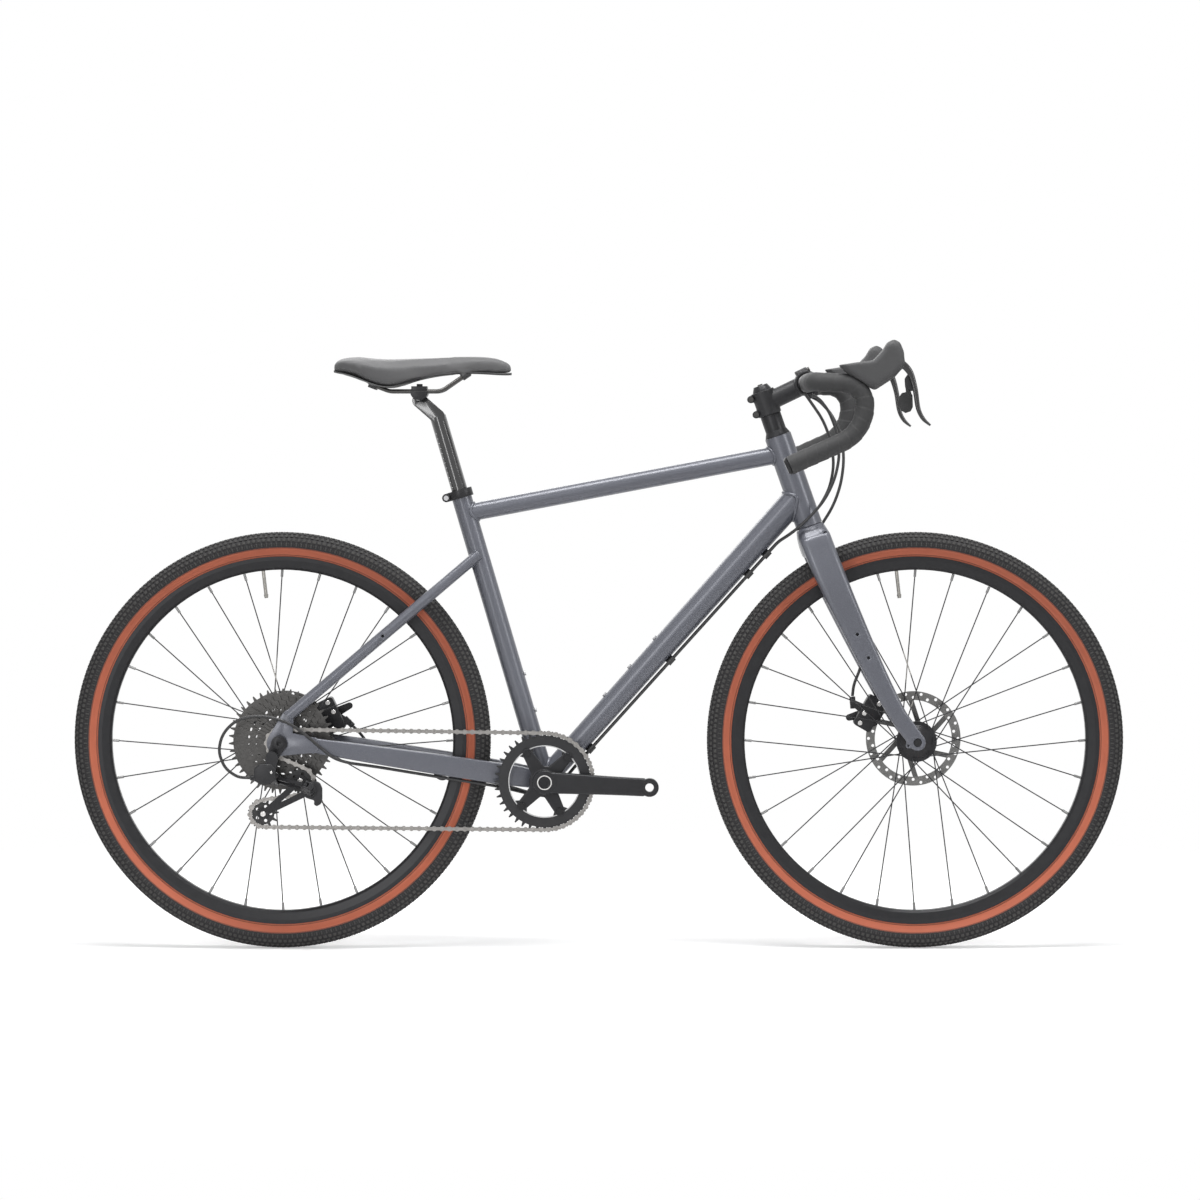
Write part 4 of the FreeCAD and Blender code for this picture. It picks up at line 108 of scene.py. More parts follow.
def length_setting(label, use, value):
    """A length setting."""
    return bpy.props.FloatProperty(name=label, description=use, default=value, unit="LENGTH", min=0)


class BikeColours(bpy.types.PropertyGroup):
    """Colours of the bike's finishes, in linear light."""

    frame_paint: colour_setting("Frame paint", "Matte metallic paint of the frame and fork", (0.112, 0.117, 0.140))
    tread: colour_setting("Tread rubber", "Tread and shoulder of the tyres", (0.030, 0.029, 0.030))
    sidewall: colour_setting("Sidewall", "Terracotta casing of the tyres", (0.50, 0.135, 0.074))
    alloy: colour_setting("Black alloy", "Anodised rims, hubs, cranks and brakes", (0.026, 0.026, 0.028))
    rubber: colour_setting("Hood rubber", "Rubber covers of the lever bodies", (0.078, 0.078, 0.080))
    wrap: colour_setting("Bar wrap", "Tape wound round the handlebar", (0.050, 0.050, 0.051))
    cover: colour_setting("Saddle cover", "Cover of the saddle pad", (0.125, 0.125, 0.127))
    steel: colour_setting("Bright steel", "Pins, bolts and the crank's cap", (0.62, 0.61, 0.60))
    floor: colour_setting("Floor", "Pale studio floor", (0.93, 0.93, 0.93))


class BikeSizes(bpy.types.PropertyGroup):
    """Sizes of the pieces that dress the frame."""

    knob_pitches: bpy.props.IntProperty(
        name="Tread pitches", description="Repeats of the tread pattern round a tyre", default=250, min=60, max=400)
    knob_height: length_setting("Knob height", "Height of the tread knobs", 2.0 * MM)
    wrap_pitch: length_setting("Wrap pitch", "Distance between the edges of the bar tape", 19 * MM)
    wrap_step: length_setting("Wrap step", "Height of each tape overlap", 1.0 * MM)
    weld_radius: length_setting("Weld radius", "Radius of the weld beads at the tube joints", 2.7 * MM)
    pad_cap: length_setting("Pad swell", "Most that a point of the saddle pad may swell", 4 * MM)


def clamped(value):
    """A value held between 0 and 1."""
    return max(0.0, min(1.0, value))


def deselect():
    """Leaves edit mode and drops every selection."""
    if bpy.context.object and bpy.context.object.mode != "OBJECT":
        bpy.ops.object.mode_set(mode="OBJECT")
    bpy.ops.object.select_all(action="DESELECT")


def only(obj):
    """Selects one object and makes it active."""
    deselect()
    obj.select_set(True)
    bpy.context.view_layer.objects.active = obj


def shape(obj, *steps):
    """Runs edit-mode steps on an object with all of it selected."""
    only(obj)
    bpy.ops.object.mode_set(mode="EDIT")
    bpy.ops.mesh.select_all(action="SELECT")
    for step in steps:
        step()
    bpy.ops.object.mode_set(mode="OBJECT")
    return obj


def modify(obj, kind, **values):
    """Adds one modifier and applies it."""
    only(obj)
    modifier = obj.modifiers.new(kind.title(), kind)
    for key, value in values.items():
        setattr(modifier, key, value)
    bpy.ops.object.modifier_apply(modifier=modifier.name)
    return obj


def smooth(obj, degrees):
    """Smooth shading that breaks at sharp edges."""
    only(obj)
    bpy.ops.object.shade_smooth_by_angle(angle=math.radians(degrees))
    return obj


def placed(name, data):
    """A new object in the scene."""
    obj = bpy.data.objects.new(name, data)
    bpy.context.scene.collection.objects.link(obj)
    return obj


def faced_outward(obj):
    """A piece with all its faces turned outward."""
    return shape(obj, lambda: bpy.ops.mesh.normals_make_consistent(inside=False))


def copy_of(node, name):
    """A copy of a frame node with its loose triangles merged into one skin."""
    obj = placed(name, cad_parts[node].data.copy())
    only(obj)
    bpy.ops.mesh.customdata_custom_splitnormals_clear()
    return shape(obj, lambda: bpy.ops.mesh.remove_doubles(threshold=MERGE_REACH))


def mesh_piece(name, vertices, faces):
    """A new object from points and faces."""
    mesh = bpy.data.meshes.new(name)
    mesh.from_pydata(vertices, [], faces)
    return placed(name, mesh)


def joined(name, objects):
    """Several objects as one."""
    deselect()
    for obj in objects:
        obj.select_set(True)
    bpy.context.view_layer.objects.active = objects[0]
    if len(objects) > 1:
        bpy.ops.object.join()
    whole = bpy.context.view_layer.objects.active
    whole.name = name
    whole.data.name = name
    return whole


def place_in_mesh(obj):
    """Moves an object's place into its mesh."""
    only(obj)
    bpy.ops.object.transform_apply(location=True, rotation=True, scale=True)
    return obj


def settle(obj, body, slot, *coats, stands_for=()):
    """Gives a piece its finishes, by name, and sets it on its body."""
    indices = [polygon.material_index for polygon in obj.data.polygons]
    obj.data.materials.clear()
    for coat in coats:
        obj.data.materials.append(finishes()[coat])
    for polygon, index in zip(obj.data.polygons, indices):
        polygon.material_index = min(index, len(coats) - 1)
    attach(obj, body)
    if stands_for:
        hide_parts(*stands_for)


def softened(node, name, body, width):
    """A frame node with its sharp edges rounded off, standing for the node."""
    obj = copy_of(node, name)
    shape(obj, lambda: bpy.ops.mesh.dissolve_limited(angle_limit=FLAT_ANGLE))
    modify(obj, "BEVEL", width=width, segments=2, limit_method="ANGLE", angle_limit=math.radians(SHARP_DEGREES),
           use_clamp_overlap=True)
    smooth(obj, SHARP_DEGREES)
    settle(obj, body, *dress_of(node), stands_for=(node,))


def moulded(node, name, voxel, rounds):
    """A frame node remade as one moulded skin with flowing edges."""
    obj = copy_of(node, name)
    modify(obj, "REMESH", mode="VOXEL", voxel_size=voxel, use_smooth_shade=True)
    return modify(obj, "SMOOTH", factor=SMOOTHING, iterations=rounds)


def shape_where(obj, test, *steps):
    """Runs edit-mode steps on the faces that a test picks."""
    only(obj)
    bpy.ops.object.mode_set(mode="EDIT")
    bpy.ops.mesh.select_mode(type="FACE")
    bpy.ops.mesh.select_all(action="DESELECT")
    bpy.ops.object.mode_set(mode="OBJECT")
    for polygon in obj.data.polygons:
        polygon.select = test(polygon)
    bpy.ops.object.mode_set(mode="EDIT")
    for step in steps:
        step()
    bpy.ops.object.mode_set(mode="OBJECT")


def bolt_head(radius, height, place, facing):
    """A chamfered bolt head with a round socket, in millimetres, standing on a place and facing a way."""
    deselect()
    bpy.ops.mesh.primitive_cylinder_add(vertices=HEAD_SIDES, radius=radius * MM, depth=height * MM,
                                        location=(0, 0, height * MM / 2))
    obj = place_in_mesh(bpy.context.object)
    shape_where(obj, lambda polygon: polygon.normal.z > 0.9,
                lambda: bpy.ops.mesh.inset(thickness=radius * HEAD_CHAMFER * MM),
                lambda: bpy.ops.transform.translate(value=(0, 0, radius * HEAD_CROWN * MM)),
                lambda: bpy.ops.mesh.inset(thickness=radius * SOCKET_RING * MM),
                lambda: bpy.ops.mesh.extrude_region_move(
                    TRANSFORM_OT_translate={"value": (0, 0, -height * SOCKET_DEPTH * MM)}))
    obj.data.transform(Matrix.Translation(place) @ Vector(facing).to_track_quat("Z", "Y").to_matrix().to_4x4())
    return smooth(obj, 30)


def slab(name, outline, start, end, round_off, origin):
    """A rounded plate across the bike: an outline in millimetres about an origin, between two places along Y."""
    count = len(outline)
    vertices = [Vector((origin.x + x * MM, y, origin.z + z * MM)) for y in (start, end) for x, z in outline]
    faces = [tuple(range(count)), tuple(reversed(range(count, 2 * count)))]
    faces += [((n + 1) % count, n, count + n, count + (n + 1) % count) for n in range(count)]
    obj = faced_outward(mesh_piece(name, vertices, faces))
    modify(obj, "BEVEL", width=round_off * MM, segments=3, limit_method="ANGLE", angle_limit=math.radians(25))
    return smooth(obj, 40)


def through(points, count):
    """Points on a smooth line through the given ones."""
    line = []
    for index in range(len(points) - 1):
        before, start = points[max(index - 1, 0)], points[index]
        end, after = points[index + 1], points[min(index + 2, len(points) - 1)]
        for step in range(count):
            t = step / count
            line.append((start * 2 + (end - before) * t + (before * 2 - start * 5 + end * 4 - after) * t ** 2
                         + (start * 3 - before - end * 3 + after) * t ** 3) / 2)
    return line + [points[-1].copy()]


def bent_path(corners, bends, step):
    """Points every step along straight runs joined by arcs."""
    points = [corners[0]]
    for index, bend in enumerate(bends):
        before, corner, after = corners[index], corners[index + 1], corners[index + 2]
        inward, outward = (before - corner).normalized(), (after - corner).normalized()
        half = inward.angle(outward) / 2
        centre = corner + (inward + outward).normalized() * (bend / math.sin(half))
        first, last = corner + inward * (bend / math.tan(half)), corner + outward * (bend / math.tan(half))
        sweep = (first - centre).rotation_difference(last - centre)
        for count in range(ARC_STEPS + 1):
            points.append(centre + Quaternion(sweep.axis, sweep.angle * count / ARC_STEPS) @ (first - centre))
    points.append(corners[-1])
    spaced = [points[0]]
    carried = 0.0
    for start, end in zip(points, points[1:]):
        run = (end - start).length
        while run > 0 and carried + run >= step:
            share = (step - carried) / run
            start = start.lerp(end, share)
            run = (end - start).length
            carried = 0.0
            spaced.append(start)
        carried += run
    return spaced


def ring_faces(rings, around):
    """The faces of a tube of rings, with both its ends closed."""
    faces = []
    for low in range(0, (rings - 1) * around, around):
        high = low + around
        for step in range(around):
            following = (step + 1) % around
            faces.append((low + step, low + following, high + following, high + step))
    faces.append(tuple(reversed(range(around))))
    faces.append(tuple(range((rings - 1) * around, rings * around)))
    return faces


def tube_rings(points, around, radius):
    """Vertices and faces of a tube; radius(index, turn) gives each point's reach."""
    vertices = []
    side = None
    for index, point in enumerate(points):
        ahead = (points[min(index + 1, len(points) - 1)] - points[max(index - 1, 0)]).normalized()
        if side is None:
            side = ahead.orthogonal().normalized()
        side = (side - ahead * side.dot(ahead)).normalized()
        up = ahead.cross(side)
        for step in range(around):
            turn = math.tau * step / around
            vertices.append(point + (side * math.cos(turn) + up * math.sin(turn)) * radius(index, turn))
    return vertices, ring_faces(len(points), around)


def sharp_loops(obj, degrees):
    """Closed runs of sharp edges on a skin, as lists of points, longest first."""
    skin = bmesh.new()
    skin.from_mesh(obj.data)
    limit = math.radians(degrees)
    links = {}
    for edge in skin.edges:
        if len(edge.link_faces) == 2 and edge.calc_face_angle(0) > limit:
            for vertex in edge.verts:
                links.setdefault(vertex.index, []).append(edge.other_vert(vertex).index)
    skin.verts.ensure_lookup_table()
    loops, seen = [], set()
    for start in links:
        if start in seen:
            continue
        chain, here = [start], start
        seen.add(start)
        while True:
            onward = [n for n in links[here] if n not in seen]
            if not onward:
                break
            here = onward[0]
            seen.add(here)
            chain.append(here)
        loops.append([skin.verts[n].co.copy() for n in chain])
    skin.free()

    def length(loop):
        return sum((b - a).length for a, b in zip(loop, loop[1:] + loop[:1]))

    return sorted(loops, key=length, reverse=True)


def bead(name, loop, radius):
    """A round bead along a closed loop of points."""
    curve = bpy.data.curves.new(name, "CURVE")
    curve.dimensions = "3D"
    spline = curve.splines.new("POLY")
    spline.points.add(len(loop) - 1)
    for point, place in zip(spline.points, loop):
        point.co = (*place, 1)
    spline.use_cyclic_u = True
    curve.bevel_depth = radius
    curve.bevel_resolution = 3
    only(placed(name, curve))
    bpy.ops.object.convert(target="MESH")
    return bpy.context.view_layer.objects.active


def new_group(name, inputs, outputs):
    """An empty shader node group with named sockets."""
    group = bpy.data.node_groups.new(name, "ShaderNodeTree")
    for label, kind, default in inputs:
        socket = group.interface.new_socket(label, in_out="INPUT", socket_type=kind)
        socket.default_value = default
    for label, kind in outputs:
        group.interface.new_socket(label, in_out="OUTPUT", socket_type=kind)
    source = group.nodes.new("NodeGroupInput")
    sink = group.nodes.new("NodeGroupOutput")
    return group, source, sink


def add(tree, kind, **settings):
    """A node with its settings; keys that name an input socket set its value."""
    node = tree.nodes.new("ShaderNode" + kind)
    for key, value in settings.items():
        if hasattr(node, key):
            setattr(node, key, value)
        else:
            node.inputs[key.replace("_", " ").title()].default_value = value
    return node


def link(source, target):
    """Joins two sockets of one tree."""
    source.id_data.links.new(source, target)


def math_node(operation, first, second=None, clamp=False):
    """A maths node; each term is a socket or a number."""
    tree = (first if isinstance(first, bpy.types.NodeSocket) else second).id_data
    node = add(tree, "Math", operation=operation, use_clamp=clamp)
    for socket, term in zip(node.inputs, (first, second)):
        if isinstance(term, bpy.types.NodeSocket):
            link(term, socket)
        elif term is not None:
            socket.default_value = term
    return node.outputs[0]


plus, minus, times, larger, below = (
    partial(math_node, kind) for kind in ("ADD", "SUBTRACT", "MULTIPLY", "MAXIMUM", "LESS_THAN"))


def near(value, target, reach):
    """One where a value lies within reach of a target."""
    same = math_node("COMPARE", value, target)
    same.node.inputs[2].default_value = reach
    return same


def mix_colour(factor, first, second):
    """Mixes two colours by a factor socket; each colour is a socket or a value."""
    node = add(factor.id_data, "Mix", data_type="RGBA")
    for socket, term in ((node.inputs[0], factor), (node.inputs[6], first), (node.inputs[7], second)):
        if isinstance(term, bpy.types.NodeSocket):
            link(term, socket)
        else:
            socket.default_value = (*term, 1)
    return node.outputs[2]


def ramp(value, low, high):
    """A value mapped from low..high to 0..1, smoothly."""
    node = add(value.id_data, "MapRange", interpolation_type="SMOOTHSTEP", from_min=low, from_max=high)
    link(value, node.inputs["Value"])
    return node.outputs["Result"]


def seen_share(tree):
    """One for rays that see the background: straight, mirrored or through glass."""
    rays = add(tree, "LightPath")
    mirrored = larger(rays.outputs["Is Glossy Ray"], rays.outputs["Is Transmission Ray"])
    return larger(rays.outputs["Is Camera Ray"], mirrored)


def place_in(tree):
    """The place on the piece being shaded."""
    return add(tree, "TexCoord").outputs["Object"]


def noise(vector, scale, detail=4.0):
    """Noise read at a place."""
    node = add(vector.id_data, "TexNoise", scale=scale, detail=detail)
    link(vector, node.inputs["Vector"])
    return node.outputs["Fac"]


def mottle_group():
    """A shared effect that varies a colour and its roughness in soft patches."""
    group, source, sink = new_group(
        "Mottle",
        [("Colour", COLOUR, (0.1, 0.1, 0.1, 1)), ("Tint", FLOAT, 0.15), ("Scale", FLOAT, 60.0),
         ("Roughness", FLOAT, 0.5), ("Roughness Change", FLOAT, 0.1)],
        [("Colour", COLOUR), ("Roughness", FLOAT)])
    place = place_in(group)
    broad = add(group, "TexNoise", detail=5.0)
    link(place, broad.inputs["Vector"])
    link(source.outputs["Scale"], broad.inputs["Scale"])
    fine = noise(place, 900.0, 2.0)
    swing = times(minus(plus(times(broad.outputs["Fac"], 0.7), times(fine, 0.3)), 0.5), 2.0)
    scaled = add(group, "VectorMath", operation="SCALE")
    link(source.outputs["Colour"], scaled.inputs[0])
    link(plus(times(swing, source.outputs["Tint"]), 1.0), scaled.inputs["Scale"])
    link(scaled.outputs[0], sink.inputs["Colour"])
    change = times(swing, source.outputs["Roughness Change"])
    link(plus(source.outputs["Roughness"], change, clamp=True), sink.inputs["Roughness"])
    return group


def grain_group():
    """A shared effect that gives the height of a fine surface grain."""
    group, source, sink = new_group(
        "Grain", [("Scale", FLOAT, 600.0), ("Cells", FLOAT, 0.5)], [("Height", FLOAT)])
    place = place_in(group)
    soft = add(group, "TexNoise", detail=6.0)
    cells = add(group, "TexVoronoi", feature="DISTANCE_TO_EDGE")
    for node in (soft, cells):
        link(place, node.inputs["Vector"])
        link(source.outputs["Scale"], node.inputs["Scale"])
    mixed = add(group, "Mix", data_type="FLOAT")
    link(source.outputs["Cells"], mixed.inputs[0])
    link(soft.outputs["Fac"], mixed.inputs[2])
    link(ramp(cells.outputs["Distance"], 0.0, 0.25), mixed.inputs[3])
    link(mixed.outputs[0], sink.inputs["Height"])
    return group


def scuffs_group():
    """A shared effect that marks out rubbed streaks: worn streaks on most finishes, and a painted highlight as well
    as wear on the dark steel.
    """
    group, source, sink = new_group(
        "Scuffs and Sheen", [("Scale", FLOAT, 30.0), ("Amount", FLOAT, 0.2)], [("Mask", FLOAT)])
    place = place_in(group)
    stretch = add(group, "Mapping")
    stretch.inputs["Rotation"].default_value = (0.4, 0.7, 0.3)
    stretch.inputs["Scale"].default_value = (1.0, 7.0, 7.0)
    link(place, stretch.inputs["Vector"])
    lines = add(group, "TexNoise", detail=8.0, roughness=0.7)
    link(stretch.outputs[0], lines.inputs["Vector"])
    link(source.outputs["Scale"], lines.inputs["Scale"])
    mask = times(ramp(lines.outputs["Fac"], 0.60, 0.72), ramp(noise(place, 9.0, 3.0), 0.50, 0.66))
    link(times(mask, source.outputs["Amount"], clamp=True), sink.inputs["Mask"])
    return group


def wheel_group():
    """A shared effect that gives the radius and turn of a place about an axle."""
    group, source, sink = new_group(
        "Wheel Place", [("Axle X", FLOAT, 0.0), ("Axle Z", FLOAT, 0.35)], [("Radius", FLOAT), ("Turn", FLOAT)])
    split = add(group, "SeparateXYZ")
    link(place_in(group), split.inputs[0])
    ahead = minus(split.outputs["X"], source.outputs["Axle X"])
    rise = minus(split.outputs["Z"], source.outputs["Axle Z"])
    link(math_node("SQRT", plus(times(ahead, ahead), times(rise, rise))), sink.inputs["Radius"])
    link(math_node("ARCTAN2", rise, ahead), sink.inputs["Turn"])
    return group


def effect(tree, name, **values):
    """A shared effect placed in a tree; keys name its inputs."""
    return add(tree, "Group", node_tree=finish.groups[name], **values)


def finish(name, colour, rough, metal=0.0, tint=0.12, scale=45.0, rough_change=0.06, grain=900.0, cells=0.0,
           bump=0.05, bump_size=0.1 * MM, scuff=0.0, scuff_colour=(0.25, 0.25, 0.25), coat=0.0, coat_rough=0.2,
           specular=0.5):
    """A finish made from the shared effects, with its main nodes for further work."""
    material = bpy.data.materials.new(name)
    material.use_nodes = True
    tree = material.node_tree
    tree.nodes.clear()
    output = add(tree, "OutputMaterial")
    shader = add(tree, "BsdfPrincipled")
    link(shader.outputs[0], output.inputs[0])
    for label, value in (("Metallic", metal), ("Coat Weight", coat), ("Coat Roughness", coat_rough),
                         ("Specular IOR Level", specular)):
        shader.inputs[label].default_value = value
    mottle = effect(tree, "mottle", colour=(*colour, 1), tint=tint, scale=scale, roughness=rough,
                    roughness_change=rough_change)
    base = mottle.outputs["Colour"]
    # Rubbed streaks are wear on most finishes; on the dark steel they are also a painted highlight.
    if scuff:
        base = mix_colour(effect(tree, "scuffs", amount=scuff).outputs["Mask"], base, scuff_colour)
    link(base, shader.inputs["Base Color"])
    link(mottle.outputs["Roughness"], shader.inputs["Roughness"])
    relief = add(tree, "Bump", strength=bump, distance=bump_size)
    link(effect(tree, "grain", scale=grain, cells=cells).outputs["Height"], relief.inputs["Height"])
    link(relief.outputs[0], shader.inputs["Normal"])
    return SimpleNamespace(material=material, tree=tree, shader=shader, base=base, relief=relief)


def recolour(made, mask, colour):
    """Lays another colour over a finish where a mask says."""
    made.base = mix_colour(mask, made.base, colour)
    link(made.base, made.shader.inputs["Base Color"])


def wheel_place(made, axle):
    """The place on a wheel that turns about an axle, for a finish."""
    return effect(made.tree, "wheel", axle_x=axle.x, axle_z=axle.z).outputs


def paint_flakes(paint):
    """Scatters bright flakes through the frame paint."""
    flakes = add(paint.tree, "TexVoronoi", scale=2400.0)
    link(place_in(paint.tree), flakes.inputs["Vector"])
    glint = add(paint.tree, "SeparateColor")
    link(flakes.outputs["Color"], glint.inputs[0])
    recolour(paint, times(ramp(glint.outputs[0], 0.72, 1.0), 0.22), (0.38, 0.39, 0.43))


def height_marks(post):
    """Prints the row of height marks on the seatpost."""
    place = place_in(post.tree)
    spans = []
    for way in (SEAT_AXIS, SEAT_REAR):
        span = add(post.tree, "VectorMath", operation="DOT_PRODUCT")
        link(place, span.inputs[0])
        span.inputs[1].default_value = way
        spans.append(minus(span.outputs["Value"], BRACKET.dot(way)))
    rise, back = spans
    along = times(minus(math_node("FRACT", math_node("DIVIDE", rise, MARK_PITCH)), 0.5), MARK_PITCH)
    across = minus(back, MARK_REACH)
    reach = math_node("SQRT", plus(times(along, along), times(across, across)))
    recolour(post, times(below(reach, MARK_RADIUS), below(rise, MARK_TOP)), (0.75, 0.75, 0.75))


def sidewall_weave(side, axle):
    """Weaves the sidewall's threads and draws its two dark lines."""
    wheel = wheel_place(side, axle)
    turned, outward = times(wheel["Turn"], 900.0), times(wheel["Radius"], 4200.0)
    weave = times(math_node("SINE", plus(turned, outward)), math_node("SINE", minus(turned, outward)))
    link(weave, side.relief.inputs["Height"])
    lines = plus(*(near(wheel["Radius"], mark, LINE_HALF) for mark in SIDEWALL_LINES))
    recolour(side, times(lines, 0.75), (0.035, 0.020, 0.016))


def spoke_tips(spokes, axle):
    """Turns the spokes' ends into pale nipples and one of them into the valve."""
    wheel = wheel_place(spokes, axle)
    nipple = ramp(wheel["Radius"], *NIPPLE_START)
    recolour(spokes, nipple, (0.20, 0.20, 0.20))
    recolour(spokes, near(wheel["Turn"], VALVE_TURN, VALVE_SPAN), (0.30, 0.29, 0.27))
    link(plus(times(nipple, 0.4), 0.6), spokes.shader.inputs["Metallic"])


def rotor_rings(rotor, axle):
    """Grinds rings into a rotor and darkens it inside the swept track."""
    wheel = wheel_place(rotor, axle)
    rings = math_node("SINE", times(wheel["Radius"], 9000.0))
    link(times(rings, noise(place_in(rotor.tree), 300.0)), rotor.relief.inputs["Height"])
    swept = ramp(wheel["Radius"], *TRACK_START)
    link(mix_colour(swept, (0.11, 0.109, 0.108), rotor.base), rotor.shader.inputs["Base Color"])


def bright_bolts(fittings):
    """Brightens the fittings near the frame's bolts."""
    place = place_in(fittings.tree)
    bolted = 0.0
    for spot in FRAME_BOLTS:
        reach = add(fittings.tree, "VectorMath", operation="DISTANCE")
        link(place, reach.inputs[0])
        reach.inputs[1].default_value = spot
        bolted = larger(bolted, below(reach.outputs["Value"], BOLT_REACH))
    recolour(fittings, bolted, (0.40, 0.40, 0.41))
    link(bolted, fittings.shader.inputs["Metallic"])


def build_finishes(colours):
    """Every finish of the bike, by name."""
    finish.groups = {"mottle": mottle_group(), "grain": grain_group(), "scuffs": scuffs_group(),
                     "wheel": wheel_group()}
    made = {}

    def keep(name, *args, **values):
        made[name] = finish(name, *args, **values)
        return made[name]

    paint_flakes(keep(
        "frame_paint", colours.frame_paint, 0.34, metal=0.22, tint=0.10, scale=14.0, rough_change=0.05,
        grain=2600.0, bump=0.06, bump_size=0.05 * MM, scuff=0.04, scuff_colour=(0.30, 0.31, 0.34),
        coat=0.35, coat_rough=0.26, specular=0.4))
    keep("black_alloy", colours.alloy, 0.36, metal=0.35, tint=0.25, scale=70.0, rough_change=0.08, grain=1500.0,
         bump=0.10, bump_size=0.08 * MM, scuff=0.10, scuff_colour=(0.16, 0.16, 0.17), specular=0.28)
    keep("satin_black", (0.024, 0.024, 0.026), 0.46, metal=0.15, tint=0.2, scale=60.0, grain=1800.0, bump=0.12,
         bump_size=0.08 * MM, scuff=0.06, specular=0.35)
    gloss = dict(metal=0.2, tint=0.2, scale=50.0, rough_change=0.05, grain=700.0, bump=0.03, scuff=0.10,
                 scuff_colour=(0.10, 0.10, 0.10))
    keep("gloss_black", (0.012, 0.012, 0.013), 0.20, coat=0.6, coat_rough=0.10, **gloss)
    height_marks(keep("post_black", (0.012, 0.012, 0.013), 0.22, coat=0.9, coat_rough=0.12, **gloss))
    keep("black_plastic", (0.022, 0.022, 0.023), 0.55, tint=0.2, scale=80.0, grain=1100.0, cells=0.5, bump=0.15,
         bump_size=0.12 * MM)
    # The bright rubbed streaks on the dark steel are partly wear and partly a painted highlight on the cassette.
    keep("dark_steel", (0.075, 0.073, 0.071), 0.32, metal=0.9, tint=0.40, scale=120.0, rough_change=0.12,
         grain=1800.0, bump=0.12, scuff=0.35, scuff_colour=(0.38, 0.37, 0.36))
    keep("bright_steel", colours.steel, 0.26, metal=1.0, tint=0.18, scale=150.0, rough_change=0.10, grain=1500.0,
         bump=0.08, bump_size=0.06 * MM)
    keep("chain_steel", (0.27, 0.26, 0.25), 0.32, metal=0.95, tint=0.50, scale=210.0, rough_change=0.14,
         grain=1600.0, bump=0.10, scuff=0.25, scuff_colour=(0.09, 0.08, 0.075))
    keep("cable_sheath", (0.020, 0.020, 0.021), 0.38, tint=0.2, scale=90.0, grain=800.0, bump=0.06)
    keep("hood_rubber", colours.rubber, 0.62, tint=0.14, scale=40.0, grain=1300.0, cells=0.8, bump=0.22,
         bump_size=0.15 * MM, specular=0.4)
    keep("tread_rubber", colours.tread, 0.72, tint=0.25, scale=90.0, grain=1200.0, cells=0.3, bump=0.25,
         bump_size=0.15 * MM, scuff=0.25, scuff_colour=(0.085, 0.080, 0.075), specular=0.35)
    # Painted light: the tread's own rubber made lighter on the knob tops, where the light falls, against the darker
    # rubber round them.
    keep("knob_tops_painted_light", (0.072, 0.070, 0.068), 0.80, tint=0.35, scale=160.0, grain=1500.0, cells=0.3, bump=0.25,
         bump_size=0.15 * MM, scuff=0.25, scuff_colour=(0.12, 0.115, 0.11), specular=0.3)
    keep("saddle_cover", colours.cover, 0.58, tint=0.12, scale=35.0, grain=1700.0, cells=0.75, bump=0.25,
         bump_size=0.14 * MM, specular=0.4)
    keep("bar_wrap", colours.wrap, 0.64, tint=0.16, scale=70.0, grain=1400.0, cells=0.7, bump=0.30,
         bump_size=0.18 * MM, specular=0.35)
    for end, axle in (("front", FRONT_AXLE), ("rear", REAR_AXLE)):
        sidewall_weave(keep(
            end + "_sidewall", colours.sidewall, 0.60, tint=0.16, scale=26.0, rough_change=0.06, grain=1500.0,
            cells=0.4, bump=0.25, scuff=0.12, scuff_colour=(0.16, 0.07, 0.05), specular=0.35), axle)
        spoke_tips(keep(
            end + "_spokes", (0.030, 0.030, 0.032), 0.30, metal=0.6, tint=0.2, scale=120.0, bump=0.05), axle)
        rotor_rings(keep(
            end + "_rotor", (0.17, 0.168, 0.165), 0.36, metal=0.95, tint=0.14, scale=80.0, bump=0.12), axle)
    ring = keep("chainring_alloy", colours.alloy, 0.34, metal=0.4, tint=0.2, scale=70.0, grain=1500.0, bump=0.10,
                scuff=0.15, scuff_colour=(0.25, 0.25, 0.26))
    recolour(ring, near(wheel_place(ring, BRACKET)["Radius"], *MACHINED_RING), (0.55, 0.55, 0.55))
    bolts = keep("crank_bolts", (0.016, 0.016, 0.017), 0.34, metal=0.5, tint=0.2, scale=120.0, bump=0.08)
    hub = ramp(wheel_place(bolts, BRACKET)["Radius"], *CAP_EDGE)
    recolour(bolts, hub, colours.steel)
    link(plus(times(hub, 0.5), 0.5), bolts.shader.inputs["Metallic"])
    bright_bolts(keep("frame_fittings", (0.022, 0.022, 0.023), 0.42, tint=0.2, scale=80.0, grain=1100.0, bump=0.12))
    return {name: parts.material for name, parts in made.items()}


